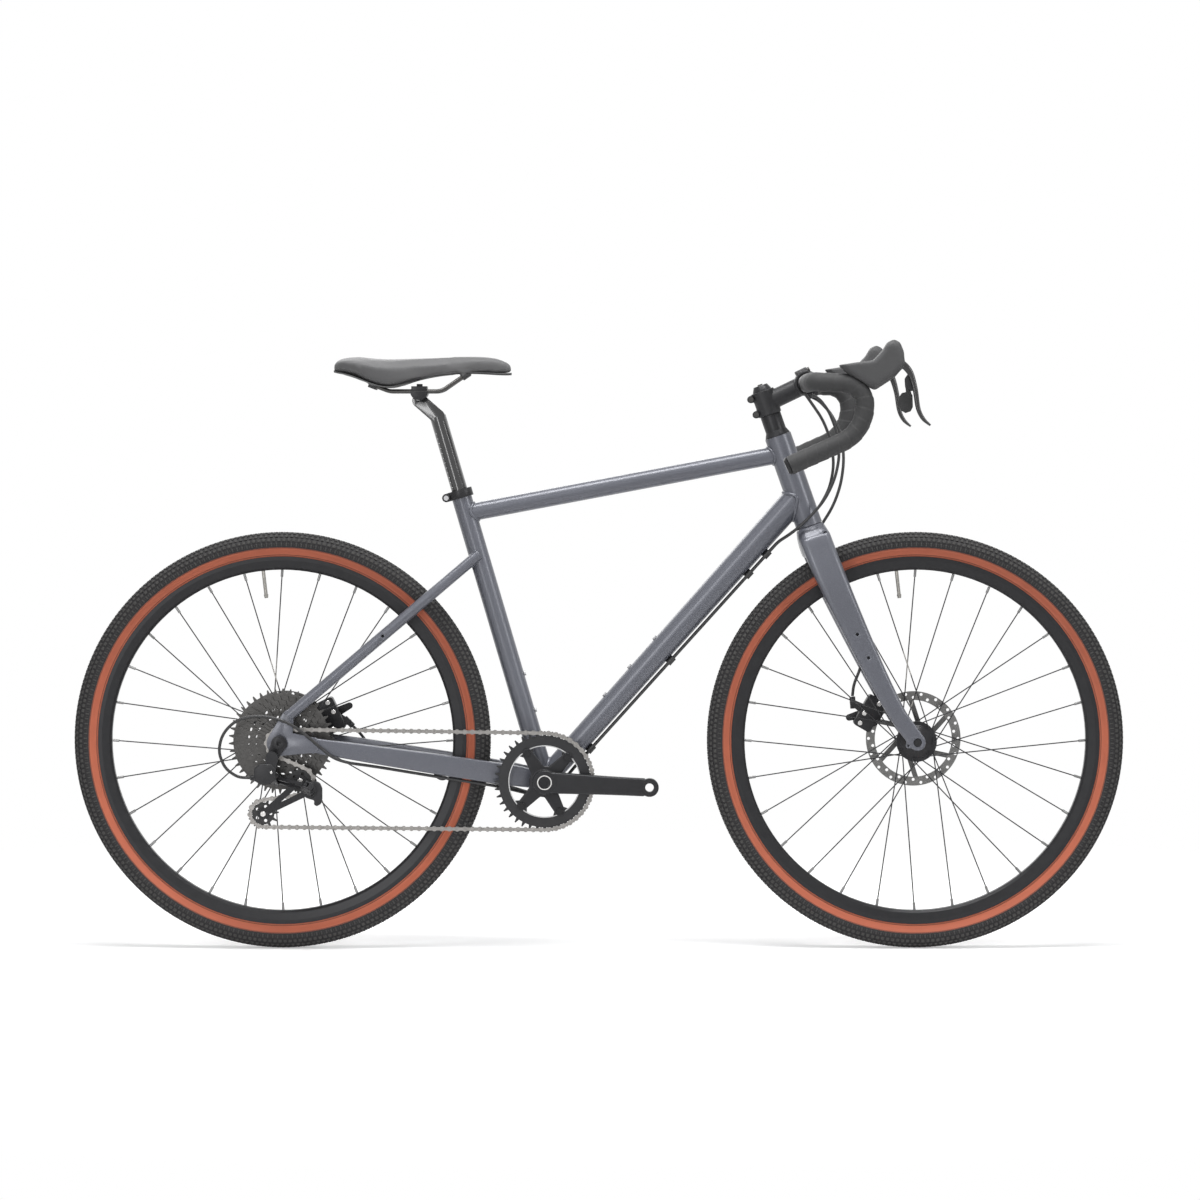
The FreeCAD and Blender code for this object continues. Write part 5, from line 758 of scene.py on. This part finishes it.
NODE_FINISHES = {
    "frame_paint": ("head_tube", "top_tube", "down_tube", "seat_tube", "bottom_bracket_shell", "chain_stays",
                    "seat_stays", "dropouts", "fork"),
    "satin_black": ("stem",),
    "post_black": ("seatpost",),
    "gloss_black": ("right_brake_lever", "left_brake_lever", "shift_paddle"),
    "black_plastic": ("saddle_base", "guide_pulley", "tension_pulley"),
    "dark_steel": ("cassette", "stem_bolts", "saddle_rails"),
    "crank_bolts": ("crank_bolts",),
    "frame_fittings": ("frame_fittings",),
    "chain_steel": ("chain",),
    "cable_sheath": ("frame_cables", "steering_cables", "front_brake_hose"),
    "hood_rubber": ("lever_hoods",),
    "tread_rubber": ("front_tyre", "rear_tyre"),
    "saddle_cover": ("saddle_pad",),
    "bar_wrap": ("bar_tape",),
    "front_spokes": ("front_spokes",),
    "rear_spokes": ("rear_spokes",),
    "front_rotor": ("front_rotor",),
    "rear_rotor": ("rear_rotor",),
    "chainring_alloy": ("chainring",),
}


def finishes():
    """The finishes, made once."""
    if not hasattr(finishes, "made"):
        finishes.made = build_finishes(bpy.context.scene.bike_colours)
    return finishes.made


def finish_of(node):
    """The name of a frame node's finish; a node that isn't listed is black alloy."""
    return next((name for name, nodes in NODE_FINISHES.items() if node in nodes), "black_alloy")


def dress_of(node):
    """The record's slot and the finish's name for a painted or black node."""
    name = finish_of(node)
    return "frame_paint" if name == "frame_paint" else "black_alloy", name


class BIKE_OT_stage(bpy.types.Operator):
    """Adds the studio floor, the soft lights and the camera."""

    bl_idname = "bike.stage"
    bl_label = "Studio stage"

    floor_radius, floor_inset = 4.0, 1.2
    floor_fade = (1.0, 2.2)
    floor_glow = 0.36
    air_strength = 0.22
    # Name, place, size, power in watts and the place aimed at.
    lamps = (
        ("overhead_panel", (0.0, -0.6, 3.2), (2.6, 0.9), 84, (0.0, 0.0, 0.3)),
        ("front_panel", (-1.5, -3.4, 1.4), (0.45, 2.5), 31, (-0.1, 0.0, 0.9)),
        ("side_panel", (2.8, -1.8, 1.9), (0.5, 1.4), 22, (0.0, 0.0, 0.5)),
        ("back_panel", (-0.6, 2.8, 2.2), (2.2, 1.2), 24, (0.0, 0.0, 0.5)),
    )
    eye = (0.0019, -7.0, 0.85)
    eye_dip = 2.164
    lens = 125.2
    sensor = 36

    def floor(self, context):
        """A pale disc that fades out into the background."""
        deselect()
        bpy.ops.mesh.primitive_circle_add(vertices=96, radius=self.floor_radius, fill_type="NGON", location=(0, 0, 0))
        floor = context.object
        floor.name = "studio_floor"
        shape(floor, *[lambda: bpy.ops.mesh.inset(thickness=self.floor_inset)] * 2)
        material = bpy.data.materials.new("studio_floor")
        material.use_nodes = True
        tree = material.node_tree
        shader = tree.nodes["Principled BSDF"]
        shader.inputs["Roughness"].default_value = 0.9
        shader.inputs["Specular IOR Level"].default_value = 0.1
        place = place_in(tree)
        pale = list(context.scene.bike_colours.floor)
        dusty = [share * 0.985 for share in pale]
        link(mix_colour(noise(place, 35.0), dusty, pale), shader.inputs["Base Color"])
        reach = add(tree, "VectorMath", operation="LENGTH")
        link(place, reach.inputs[0])
        link(minus(1.0, ramp(reach.outputs["Value"], *self.floor_fade)), shader.inputs["Alpha"])
        shader.inputs["Emission Color"].default_value = (1, 1, 1, 1)
        link(times(seen_share(tree), self.floor_glow), shader.inputs["Emission Strength"])
        floor.data.materials.append(material)

    def air(self, scene):
        """White air where it is seen, and dim air for everything else."""
        world = bpy.data.worlds.new("studio_air")
        scene.world = world
        world.use_nodes = True
        tree = world.node_tree
        tree.nodes.clear()
        output = add(tree, "OutputWorld")
        seen = add(tree, "Background")
        seen.inputs["Color"].default_value = (1, 1, 1, 1)
        air = add(tree, "Background", strength=self.air_strength)
        air.inputs["Color"].default_value = (0.97, 0.98, 1.0, 1)
        mix = add(tree, "MixShader")
        link(seen_share(tree), mix.inputs[0])
        link(air.outputs[0], mix.inputs[1])
        link(seen.outputs[0], mix.inputs[2])
        link(mix.outputs[0], output.inputs[0])

    def execute(self, context):
        scene = context.scene
        scene.view_settings.view_transform = "Standard"
        self.floor(context)
        self.air(scene)
        for name, place, size, power, aim in self.lamps:
            light = bpy.data.lights.new(name, "AREA")
            light.shape = "RECTANGLE"
            light.size, light.size_y = size
            light.energy = power
            lamp = placed(name, light)
            lamp.location = place
            lamp.rotation_euler = (Vector(aim) - Vector(place)).to_track_quat("-Z", "Y").to_euler()
        camera = placed("photo_camera", bpy.data.cameras.new("photo_camera"))
        camera.location = self.eye
        camera.rotation_euler = (math.radians(90 - self.eye_dip), 0, 0)
        camera.data.lens = self.lens
        camera.data.sensor_width = self.sensor
        scene.camera = camera
        return {"FINISHED"}


class BIKE_OT_finishes(bpy.types.Operator):
    """Gives every frame node its finish."""

    bl_idname = "bike.finishes"
    bl_label = "Frame finishes"

    def execute(self, context):
        for node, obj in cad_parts.items():
            look = finishes()[finish_of(node)]
            if not obj.material_slots:
                obj.data.materials.append(look)
            for slot in obj.material_slots:
                slot.link = "OBJECT"
                slot.material = look
        return {"FINISHED"}


class BIKE_OT_tyres(bpy.types.Operator):
    """Builds both tyres: casing, terracotta sidewalls and a knobbly tread."""

    bl_idname = "bike.tyres"
    bl_label = "Tyres"

    section_centre = 0.330
    section_radius = 0.0179
    flank_radius = 0.0194
    tread_edge = 0.3240
    profile_points, turn_steps, seam_reach = 40, 200, 1e-5
    bead_turn = math.radians(138)
    bead_flat = 0.7
    bead_half, bead_draw, foot_half = 11.3 * MM, 1.2 * MM, 9.5 * MM
    bead_depth, foot_drop = 19 * MM, 6 * MM
    knob_root = 0.9
    knob_taper = 0.84
    knob_sink = 0.1 * MM
    knob_chamfer = 0.45 * MM
    low_knobs = (80, 0.55)
    knob_top = 0.8 * MM
    # Degrees from the crown, lag in pitches, length and width in millimetres.
    rows = ((0, 0.0, 5.2, 4.6), (0, 0.5, 3.2, 2.2), (24, 0.5, 5.4, 4.8), (48, 0.0, 5.4, 5.2),
            (70, 0.5, 5.8, 5.4), (92, 0.0, 3.4, 6.0), (92, 0.5, 1.6, 4.2))

    def skin(self, lean):
        """The casing's reach from its section's centre at a lean from the crown."""
        return self.section_radius + (self.flank_radius - self.section_radius) * math.sin(lean) ** 2

    def casing(self):
        """The casing's profile turned about the axle."""
        deselect()
        bpy.ops.mesh.primitive_circle_add(vertices=self.profile_points, radius=self.section_radius,
                                          rotation=(0, math.pi / 2, 0))
        obj = bpy.context.object
        place_in_mesh(obj)
        for vertex in obj.data.vertices:
            around = math.atan2(vertex.co.y, vertex.co.z)
            turn = abs(around)
            reach = self.skin(turn)
            across, rise = reach * math.sin(around), reach * math.cos(around)
            if turn > self.bead_turn:
                share = (turn - self.bead_turn) / (math.pi - self.bead_turn)
                half = self.bead_half - self.bead_draw * share
                if share >= self.bead_flat:
                    half = self.foot_half * (1 - share) / (1 - self.bead_flat)
                across = math.copysign(1, around) * half
                rise = -self.bead_depth - self.foot_drop * min(1, share / self.bead_flat)
            vertex.co = (0, across, self.section_centre + rise)
        shape(obj, lambda: bpy.ops.mesh.spin(
                  steps=self.turn_steps, angle=math.tau, center=(0, 0, 0), axis=(0, 1, 0)),
              lambda: bpy.ops.mesh.select_all(action="SELECT"),
              lambda: bpy.ops.mesh.remove_doubles(threshold=self.seam_reach),
              lambda: bpy.ops.mesh.normals_make_consistent(inside=False))
        return obj

    def knob(self, along, across, height):
        """One tread block with a drawn-in, chamfered top, standing on the origin."""
        deselect()
        bpy.ops.mesh.primitive_cube_add(size=1, location=(0, 0, 0.5))
        obj = bpy.context.object
        place_in_mesh(obj)
        obj.data.transform(Matrix.Diagonal((along, across, height * (1 + self.knob_root), 1)))
        obj.data.transform(Matrix.Translation((0, 0, -height * self.knob_root)))
        for vertex in obj.data.vertices:
            if vertex.co.z > 0:
                vertex.co.x *= self.knob_taper
                vertex.co.y *= self.knob_taper
        return modify(obj, "BEVEL", width=self.knob_chamfer, segments=1, limit_method="NONE")

    def tread(self, sizes):
        """One pitch of tread blocks, repeated round the wheel."""
        pitch = math.tau / sizes.knob_pitches
        low_from, low_share = self.low_knobs
        blocks = []
        for degrees, lag, along, across in self.rows:
            for side in ((1,) if degrees == 0 else (1, -1)):
                height = sizes.knob_height * (low_share if degrees > low_from else 1.0)
                block = self.knob(along * MM, across * MM, height)
                lean = math.radians(degrees) * side
                sunk = Matrix.Translation((0, 0, self.skin(lean) - self.knob_sink))
                block.data.transform(Matrix.Rotation(-lean, 4, "X") @ sunk)
                block.data.transform(Matrix.Translation((0, 0, self.section_centre)))
                block.data.transform(Matrix.Rotation(pitch * lag, 4, "Y"))
                blocks.append(block)
        obj = joined("tread", blocks)
        count = sizes.knob_pitches
        return shape(obj, lambda: bpy.ops.mesh.spin(
            steps=count - 1, dupli=True, angle=math.tau * (count - 1) / count, center=(0, 0, 0), axis=(0, 1, 0)))

    def execute(self, context):
        casing = self.casing()
        smooth(casing, 60)
        tread = self.tread(context.scene.bike_sizes)
        tyre = joined("front_tyre_tread", [casing, tread])
        for name in ("tread_rubber", "front_sidewall", "knob_tops_painted_light"):
            tyre.data.materials.append(finishes()[name])
        for polygon in tyre.data.polygons:
            rise = math.hypot(polygon.center.x, polygon.center.z)
            lean = math.atan2(polygon.center.y, rise - self.section_centre)
            proud = math.hypot(polygon.center.y, rise - self.section_centre) - self.skin(lean)
            # Faces on the knob tops take the lighter rubber: painted light on the tops of the knobs.
            polygon.material_index = 1 if rise < self.tread_edge else 2 if proud > self.knob_top else 0
        twin = placed("rear_tyre_tread", tyre.data.copy())
        for obj, axle, end in ((tyre, FRONT_AXLE, "front"), (twin, REAR_AXLE, "rear")):
            obj.data.transform(Matrix.Translation(axle))
            settle(obj, end + "_wheel", "tyre_rubber", "tread_rubber", end + "_sidewall", "knob_tops_painted_light",
                   stands_for=(end + "_tyre",))
        return {"FINISHED"}


class BIKE_OT_bar_wrap(bpy.types.Operator):
    """Winds the overlapping tape round both halves of the handlebar."""

    bl_idname = "bike.bar_wrap"
    bl_label = "Bar wrap"

    corners = ((0.34807, 0.062, 0.94852), (0.34807, 0.215, 0.94852), (0.43207, 0.215, 0.94452),
               (0.43207, 0.215, 0.86652), (0.30907, 0.215, 0.81152))
    bends = (0.028, 0.036, 0.066)
    step = 1.2 * MM
    around = 40
    under = 0.0119
    tape_radius = 0.0149
    collar_length, collar_radius = 16 * MM, 0.0153
    lap_edge, lap_fall = 0.10, 0.75
    collar_end = 0.0775

    def reach(self, sizes, side, last, index, turn):
        """The tape's reach from the bar's line, at a point of the line and a turn about it."""
        if index in (0, last):
            return self.under
        if index * self.step < self.collar_length:
            return self.collar_radius
        lap = (index * self.step / sizes.wrap_pitch - side * turn / (math.tau)) % 1.0
        edge = min(1.0, lap / self.lap_edge)
        return self.tape_radius + sizes.wrap_step * (edge * (1 - self.lap_fall * lap))

    def execute(self, context):
        halves = []
        for side in (-1, 1):
            points = bent_path([Vector((x, side * y, z)) for x, y, z in self.corners], self.bends, self.step)
            reach = partial(self.reach, context.scene.bike_sizes, side, len(points) - 1)
            halves.append(mesh_piece("wrap_half", *tube_rings(points, self.around, reach)))
        wrap = joined("wound_bar_tape", halves)
        for name in ("bar_wrap", "cable_sheath"):
            wrap.data.materials.append(finishes()[name])
        for polygon in wrap.data.polygons:
            polygon.material_index = 1 if abs(polygon.center.y) < self.collar_end else 0
        smooth(faced_outward(wrap), 40)
        settle(wrap, "steering", "bar_wrap", "bar_wrap", "cable_sheath", stands_for=("bar_tape",))
        return {"FINISHED"}


class BIKE_OT_saddle(bpy.types.Operator):
    """Swells the saddle pad under its cover."""

    bl_idname = "bike.saddle"
    bl_label = "Saddle pad"

    voxel = 3.2 * MM
    base_lift = 3.2 * MM
    under_start, under_span = 0.45, 0.3
    frames = 20
    cloth_values = {"quality": 6, "mass": 0.3, "tension_stiffness": 20, "compression_stiffness": 20,
                    "shear_stiffness": 10, "bending_stiffness": 2, "use_pressure": True,
                    "uniform_pressure_force": 3}

    def swell(self, pad, scene, cap):
        """Blows the pad up as cloth and holds each point to the cap."""
        start = [vertex.co.copy() for vertex in pad.data.vertices]
        only(pad)
        cloth = pad.modifiers.new("Cloth", "CLOTH")
        for key, value in self.cloth_values.items():
            setattr(cloth.settings, key, value)
        cloth.settings.effector_weights.gravity = 0
        cloth.collision_settings.use_collision = False
        cloth.collision_settings.use_self_collision = False
        for number in range(1, self.frames + 1):
            scene.frame_set(number)
        bpy.ops.object.modifier_apply(modifier=cloth.name)
        scene.frame_set(1)
        for vertex, place in zip(pad.data.vertices, start):
            move = vertex.co - place
            if move.length > cap:
                vertex.co = place + move * (cap / move.length)
        modify(pad, "SMOOTH", factor=SMOOTHING, iterations=6)

    def execute(self, context):
        pad = joined("saddle_padding", [copy_of("saddle_pad", "pad_top"), copy_of("saddle_base", "pad_base")])
        modify(pad, "REMESH", mode="VOXEL", voxel_size=self.voxel, use_smooth_shade=True)
        modify(pad, "SMOOTH", factor=SMOOTHING, iterations=10)
        self.swell(pad, context.scene, context.scene.bike_sizes.pad_cap)
        for vertex in pad.data.vertices:
            vertex.co.z += self.base_lift * clamped((-vertex.normal.z - self.under_start) / self.under_span)
        modify(pad, "SUBSURF", levels=1, render_levels=1)
        smooth(pad, 180)
        settle(pad, "saddle", "saddle_cover", "saddle_cover", stands_for=("saddle_pad",))
        return {"FINISHED"}


class BIKE_OT_hoods(bpy.types.Operator):
    """Moulds the rubber hoods with their pins, the brake levers and the shift paddle."""

    bl_idname = "bike.hoods"
    bl_label = "Hoods and levers"

    # The blade's line and its half heights and half widths, in millimetres from the pivot.
    line = ((0, 0), (9, -4), (20, -17), (28, -43), (33, -74), (41, -91), (53, -102))
    halves = ((6.0, 5.0), (6.2, 5.8), (5.4, 5.8), (4.4, 5.6), (3.9, 5.2), (3.4, 4.8), (1.8, 3.2))
    mount = ((11, -26), (19, -15), (28, -24), (31, -40), (23, -47), (12, -41))
    mount_sides = (-0.2165, -0.2095)
    oval = 0.7
    blade_steps, blade_around = 8, 20
    # Voxel and smoothing rounds of the moulded skins.
    hood_skin, paddle_skin = (1.4 * MM, 12), (0.55 * MM, 8)
    crown_rounds = 35
    crown_start, crown_blend = 0.405, 0.03
    pin_back, pin_out, pin_size = 3 * MM, 15 * MM, (2.4, 1.6)

    def blade(self, name, side):
        """A lever blade with an oval section, drawn along its line from the pivot."""
        pivot = Vector((LEVER_PIVOT.x, side * LEVER_PIVOT.y, LEVER_PIVOT.z))
        places = through([Vector((x, z, 0)) for x, z in self.line], self.blade_steps)
        spans = through([Vector((a, b, 0)) for a, b in self.halves], self.blade_steps)
        vertices, around = [], self.blade_around
        for index, (place, span) in enumerate(zip(places, spans)):
            ahead = (places[min(index + 1, len(places) - 1)] - places[max(index - 1, 0)]).normalized()
            across = Vector((-ahead.y, ahead.x, 0))
            for step in range(around):
                turn = math.tau * step / around
                lift = math.copysign(abs(math.cos(turn)) ** self.oval, math.cos(turn)) * span.x
                wide = math.copysign(abs(math.sin(turn)) ** self.oval, math.sin(turn)) * span.y
                spot = place + across * lift
                vertices.append(pivot + Vector((spot.x, wide, spot.y)) * MM)
        return smooth(faced_outward(mesh_piece(name, vertices, ring_faces(len(places), around))), 60)

    def execute(self, context):
        hoods = moulded("lever_hoods", "moulded_hoods", *self.hood_skin)
        crowns = hoods.vertex_groups.new(name="crowns")
        for vertex in hoods.data.vertices:
            share = (vertex.co.x - self.crown_start) / self.crown_blend
            crowns.add([vertex.index], clamped(share), "REPLACE")
        modify(hoods, "SMOOTH", factor=SMOOTHING, iterations=self.crown_rounds, vertex_group="crowns")
        hoods.vertex_groups.clear()
        settle(hoods, "steering", "hood_rubber", "hood_rubber", stands_for=("lever_hoods",))
        pins = []
        for side in (-1, 1):
            for outward in (-1, 1):
                across = side * LEVER_PIVOT.y + outward * self.pin_out
                place = Vector((LEVER_PIVOT.x - self.pin_back, across, LEVER_PIVOT.z))
                pins.append(bolt_head(*self.pin_size, place, (0, outward, 0)))
        settle(joined("lever_pins", pins), "steering", "bright_steel", "bright_steel")
        for side, sign in (("right", -1), ("left", 1)):
            blade = self.blade(side + "_lever_blade", sign)
            settle(blade, side + "_lever", "black_alloy", "gloss_black", stands_for=(side + "_brake_lever",))
        paddle = moulded("shift_paddle", "moulded_paddle", *self.paddle_skin)
        settle(paddle, "paddle", "black_plastic", "black_plastic", stands_for=("shift_paddle",))
        pivot = Vector((LEVER_PIVOT.x, 0, LEVER_PIVOT.z))
        mount = slab("paddle_mount", self.mount, *self.mount_sides, 1.6, pivot)
        settle(mount, "right_lever", "black_alloy", "satin_black")
        return {"FINISHED"}


class BIKE_OT_cable_loops(bpy.types.Operator):
    """Remakes the cable loops from the bar to the frame as one smooth skin."""

    bl_idname = "bike.cable_loops"
    bl_label = "Cable loops"

    def execute(self, context):
        loops = copy_of("steering_cables", "bar_to_frame_loops")
        smooth(loops, 40)
        loops.data.materials.clear()
        loops.data.materials.append(finishes()["cable_sheath"])
        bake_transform(loops)
        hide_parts("steering_cables")
        return {"FINISHED"}


class BIKE_OT_welds(bpy.types.Operator):
    """Lays weld beads along the joints of the frame tubes."""

    bl_idname = "bike.welds"
    bl_label = "Weld beads"

    joint_degrees = 35
    shares = {"top_tube": 1.0, "down_tube": 1.15, "seat_tube": 1.0, "chain_stays": 0.7, "seat_stays": 0.6}
    least_points = 12
    least_span = 7 * MM
    least_apart = 12 * MM
    seat_tube_top = 0.5

    def execute(self, context):
        radius = context.scene.bike_sizes.weld_radius
        beads = []
        for node, share in self.shares.items():
            skin = copy_of(node, "weld_guide")
            kept = []
            for loop in sharp_loops(skin, self.joint_degrees):
                centre = sum(loop, Vector()) / len(loop)
                span = max((point - centre).length for point in loop)
                if len(loop) < self.least_points or span < self.least_span:
                    continue
                if node == "seat_tube" and centre.z > self.seat_tube_top:
                    continue
                if any((centre - other).length < self.least_apart for other in kept):
                    continue
                kept.append(centre)
                beads.append(bead("weld", loop, radius * share))
            bpy.data.objects.remove(skin)
        if not beads:
            raise RuntimeError("no tube joints were found to weld")
        welds = joined("weld_beads", beads)
        smooth(welds, 60)
        settle(welds, "frame", "frame_paint", "frame_paint")
        return {"FINISHED"}


class BIKE_OT_smooth_tubes(bpy.types.Operator):
    """Gives the densely meshed frame tubes one even skin."""

    bl_idname = "bike.smooth_tubes"
    bl_label = "Smooth tubes"

    front = Vector((0.33485, 0, 0.76155))
    radii = (18 * MM, 22 * MM)
    around = 72
    steps = 48

    def down_tube(self):
        """The tapered down tube, run out to the head tube and the bracket shell."""
        skins = []
        for node in ("bottom_bracket_shell", "head_tube"):
            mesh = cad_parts[node].data
            skins.append(BVHTree.FromPolygons([vertex.co for vertex in mesh.vertices],
                                              [polygon.vertices for polygon in mesh.polygons]))
        side = Vector((0, 1, 0))
        lift = (self.front - BRACKET).normalized().cross(side)
        vertices, faces = [], []
        for step in range(self.around):
            turn = math.tau * step / self.around
            out = side * math.cos(turn) + lift * math.sin(turn)
            low, high = BRACKET + out * self.radii[0], self.front + out * self.radii[1]
            middle, way = low.lerp(high, 0.5), (high - low).normalized()
            low = skins[0].ray_cast(middle, -way)[0] or low
            high = skins[1].ray_cast(middle, way)[0] or high
            vertices += [low.lerp(high, count / self.steps) for count in range(self.steps + 1)]
            first, second = step * (self.steps + 1), (step + 1) % self.around * (self.steps + 1)
            faces += [(first + n, first + n + 1, second + n + 1, second + n) for n in range(self.steps)]
        return faced_outward(mesh_piece("even_down_tube", vertices, faces))

    def execute(self, context):
        for node in ("down_tube", "seat_stays", "chain_stays"):
            tube = self.down_tube() if node == "down_tube" else copy_of(node, "even_" + node)
            smooth(tube, 35)
            settle(tube, "frame", "frame_paint", "frame_paint", stands_for=(node,))
        return {"FINISHED"}


class BIKE_OT_rounded_parts(bpy.types.Operator):
    """Rounds off the edges of the machined parts."""

    bl_idname = "bike.rounded_parts"
    bl_label = "Rounded parts"

    # Node, new name, body and rounding in millimetres.
    parts = (
        ("headset_spacers", "spacer_stack", "steering", 0.6),
        ("seatpost", "post_and_head", "seatpost", 1.6),
        ("dropouts", "dropout_plates", "frame", 0.8),
        ("seat_collar", "collar_band", "frame", 0.6),
        ("derailleur_hanger", "hanger_plate", "frame", 0.6),
        ("front_caliper", "front_brake_body", "steering", 1.0),
        ("rear_caliper", "rear_brake_body", "frame", 1.0),
        ("front_caliper_arm", "front_pull_arm", "front_brake_arm", 0.5),
        ("rear_caliper_arm", "rear_pull_arm", "rear_brake_arm", 0.5),
        ("saddle_clamp", "rail_clamp", "saddle_cradle", 0.7),
    )

    def execute(self, context):
        for node, name, body, width in self.parts:
            softened(node, name, body, width * MM)
        return {"FINISHED"}


class BIKE_OT_forged_parts(bpy.types.Operator):
    """Gives the forged and cast parts flowing skins."""

    bl_idname = "bike.forged_parts"
    bl_label = "Forged parts"

    # Node, new name, body, voxel in millimetres and smoothing rounds.
    parts = (
        ("fork", "fork_blades", "steering", 1.7, 28),
        ("stem", "stem_body", "steering", 0.9, 8),
        ("right_crank_arm", "drive_crank", "crankset", 1.0, 8),
        ("left_crank_arm", "plain_crank", "crankset", 1.0, 8),
        ("derailleur_body", "fixed_knuckle", "frame", 0.6, 4),
        ("derailleur_knuckle", "swing_knuckle", "moving_knuckle", 0.6, 4),
        ("derailleur_outer_link", "outer_link_arm", "outer_link", 0.5, 4),
        ("derailleur_inner_link", "inner_link_arm", "inner_link", 0.5, 4),
    )

    def execute(self, context):
        for node, name, body, voxel, rounds in self.parts:
            settle(moulded(node, name, voxel * MM, rounds), body, *dress_of(node), stands_for=(node,))
        return {"FINISHED"}


class BIKE_OT_gear_details(bpy.types.Operator):
    """Adds the derailleur's housings and the bolts of the pulleys and brakes."""

    bl_idname = "bike.gear_details"
    bl_label = "Gear and brake details"

    # Outlines in millimetres about the rear axle and the cage's pivot.
    knuckle_outline = ((-41, -40), (-31, -33), (-13, -33), (-5, -40), (-4, -57), (-13, -67), (-30, -68), (-41, -60))
    pivot_outline = ((-10, 8), (-3, 15), (8, 19), (17, 15), (21, 6), (21, -12), (19, -20), (12, -24), (7, -21),
                     (8, -14), (0, -12), (-9, -8))
    knuckle_sides, knuckle_round = (-0.0975, -0.0865), 2.6
    pivot_sides, pivot_round = (-0.0850, -0.0735), 2.2
    # Radius and height of each kind of bolt head, in millimetres.
    cap_size, pulley_size, screw_size, brake_size = (10.5, 2.4), (4.4, 1.8), (2.0, 1.2), (4.0, 2.0)
    cap_face = -0.0845
    screw_place = Vector((-0.012, -0.0975, -0.047))
    brakes = (("front", "steering", FRONT_CALIPER, 240), ("rear", "frame", REAR_CALIPER, 116))
    brake_bolts = ((0.022, 0.006), (-0.022, -0.006), (0.004, 0.008))

    def execute(self, context):
        block = slab("knuckle_block", self.knuckle_outline, *self.knuckle_sides, self.knuckle_round, REAR_AXLE)
        settle(block, "frame", "black_alloy", "satin_black")
        housing = slab("pivot_housing", self.pivot_outline, *self.pivot_sides, self.pivot_round, CAGE_PIVOT)
        settle(housing, "moving_knuckle", "black_alloy", "satin_black")
        cap = bolt_head(*self.cap_size, Vector((CAGE_PIVOT.x, self.cap_face, CAGE_PIVOT.z)), (0, -1, 0))
        settle(cap, "moving_knuckle", "black_alloy", "black_alloy")
        pulleys = [bolt_head(*self.pulley_size, place, (0, -1, 0)) for place in (GUIDE_PULLEY, TENSION_PULLEY)]
        settle(joined("pulley_bolts", pulleys), "cage", "bright_steel", "bright_steel")
        screw = bolt_head(*self.screw_size, REAR_AXLE + self.screw_place, (0, -1, 0))
        settle(screw, "frame", "bright_steel", "bright_steel")
        for end, body, centre, lean in self.brakes:
            along = Vector((math.cos(math.radians(lean)), 0, math.sin(math.radians(lean))))
            out = Vector((along.z, 0, -along.x))
            bolts = [bolt_head(*self.brake_size, centre + along * place + out * rise, (0, -1, 0))
                     for place, rise in self.brake_bolts]
            settle(joined(end + "_brake_bolts", bolts), body, "bright_steel", "bright_steel")
        return {"FINISHED"}


class BIKE_PT_panel(bpy.types.Panel):
    """Lists the builders of the bike's pieces."""

    bl_idname = "BIKE_PT_panel"
    bl_label = "Gravel Bike"
    bl_space_type = "VIEW_3D"
    bl_region_type = "UI"
    bl_category = "Gravel Bike"

    def draw(self, context):
        for operator in OPERATORS:
            self.layout.operator(operator.bl_idname)
        for group in (context.scene.bike_colours, context.scene.bike_sizes):
            for key in group.__annotations__:
                self.layout.prop(group, key)


OPERATORS = (BIKE_OT_stage, BIKE_OT_finishes, BIKE_OT_tyres, BIKE_OT_bar_wrap, BIKE_OT_saddle, BIKE_OT_hoods,
             BIKE_OT_cable_loops, BIKE_OT_welds, BIKE_OT_smooth_tubes, BIKE_OT_rounded_parts,
             BIKE_OT_forged_parts, BIKE_OT_gear_details)
CLASSES = (BikeColours, BikeSizes, *OPERATORS, BIKE_PT_panel)


def register():
    """Registers the classes and the scene's settings."""
    for cls in CLASSES:
        bpy.utils.register_class(cls)
    bpy.types.Scene.bike_colours = bpy.props.PointerProperty(type=BikeColours)
    bpy.types.Scene.bike_sizes = bpy.props.PointerProperty(type=BikeSizes)


def unregister():
    """Removes the settings and the classes."""
    del bpy.types.Scene.bike_sizes
    del bpy.types.Scene.bike_colours
    for cls in reversed(CLASSES):
        bpy.utils.unregister_class(cls)


def main():
    """Builds the whole bike."""
    register()
    for operator in OPERATORS:
        getattr(bpy.ops.bike, operator.bl_idname.split(".")[1])()


if __name__ == "__main__":
    main()
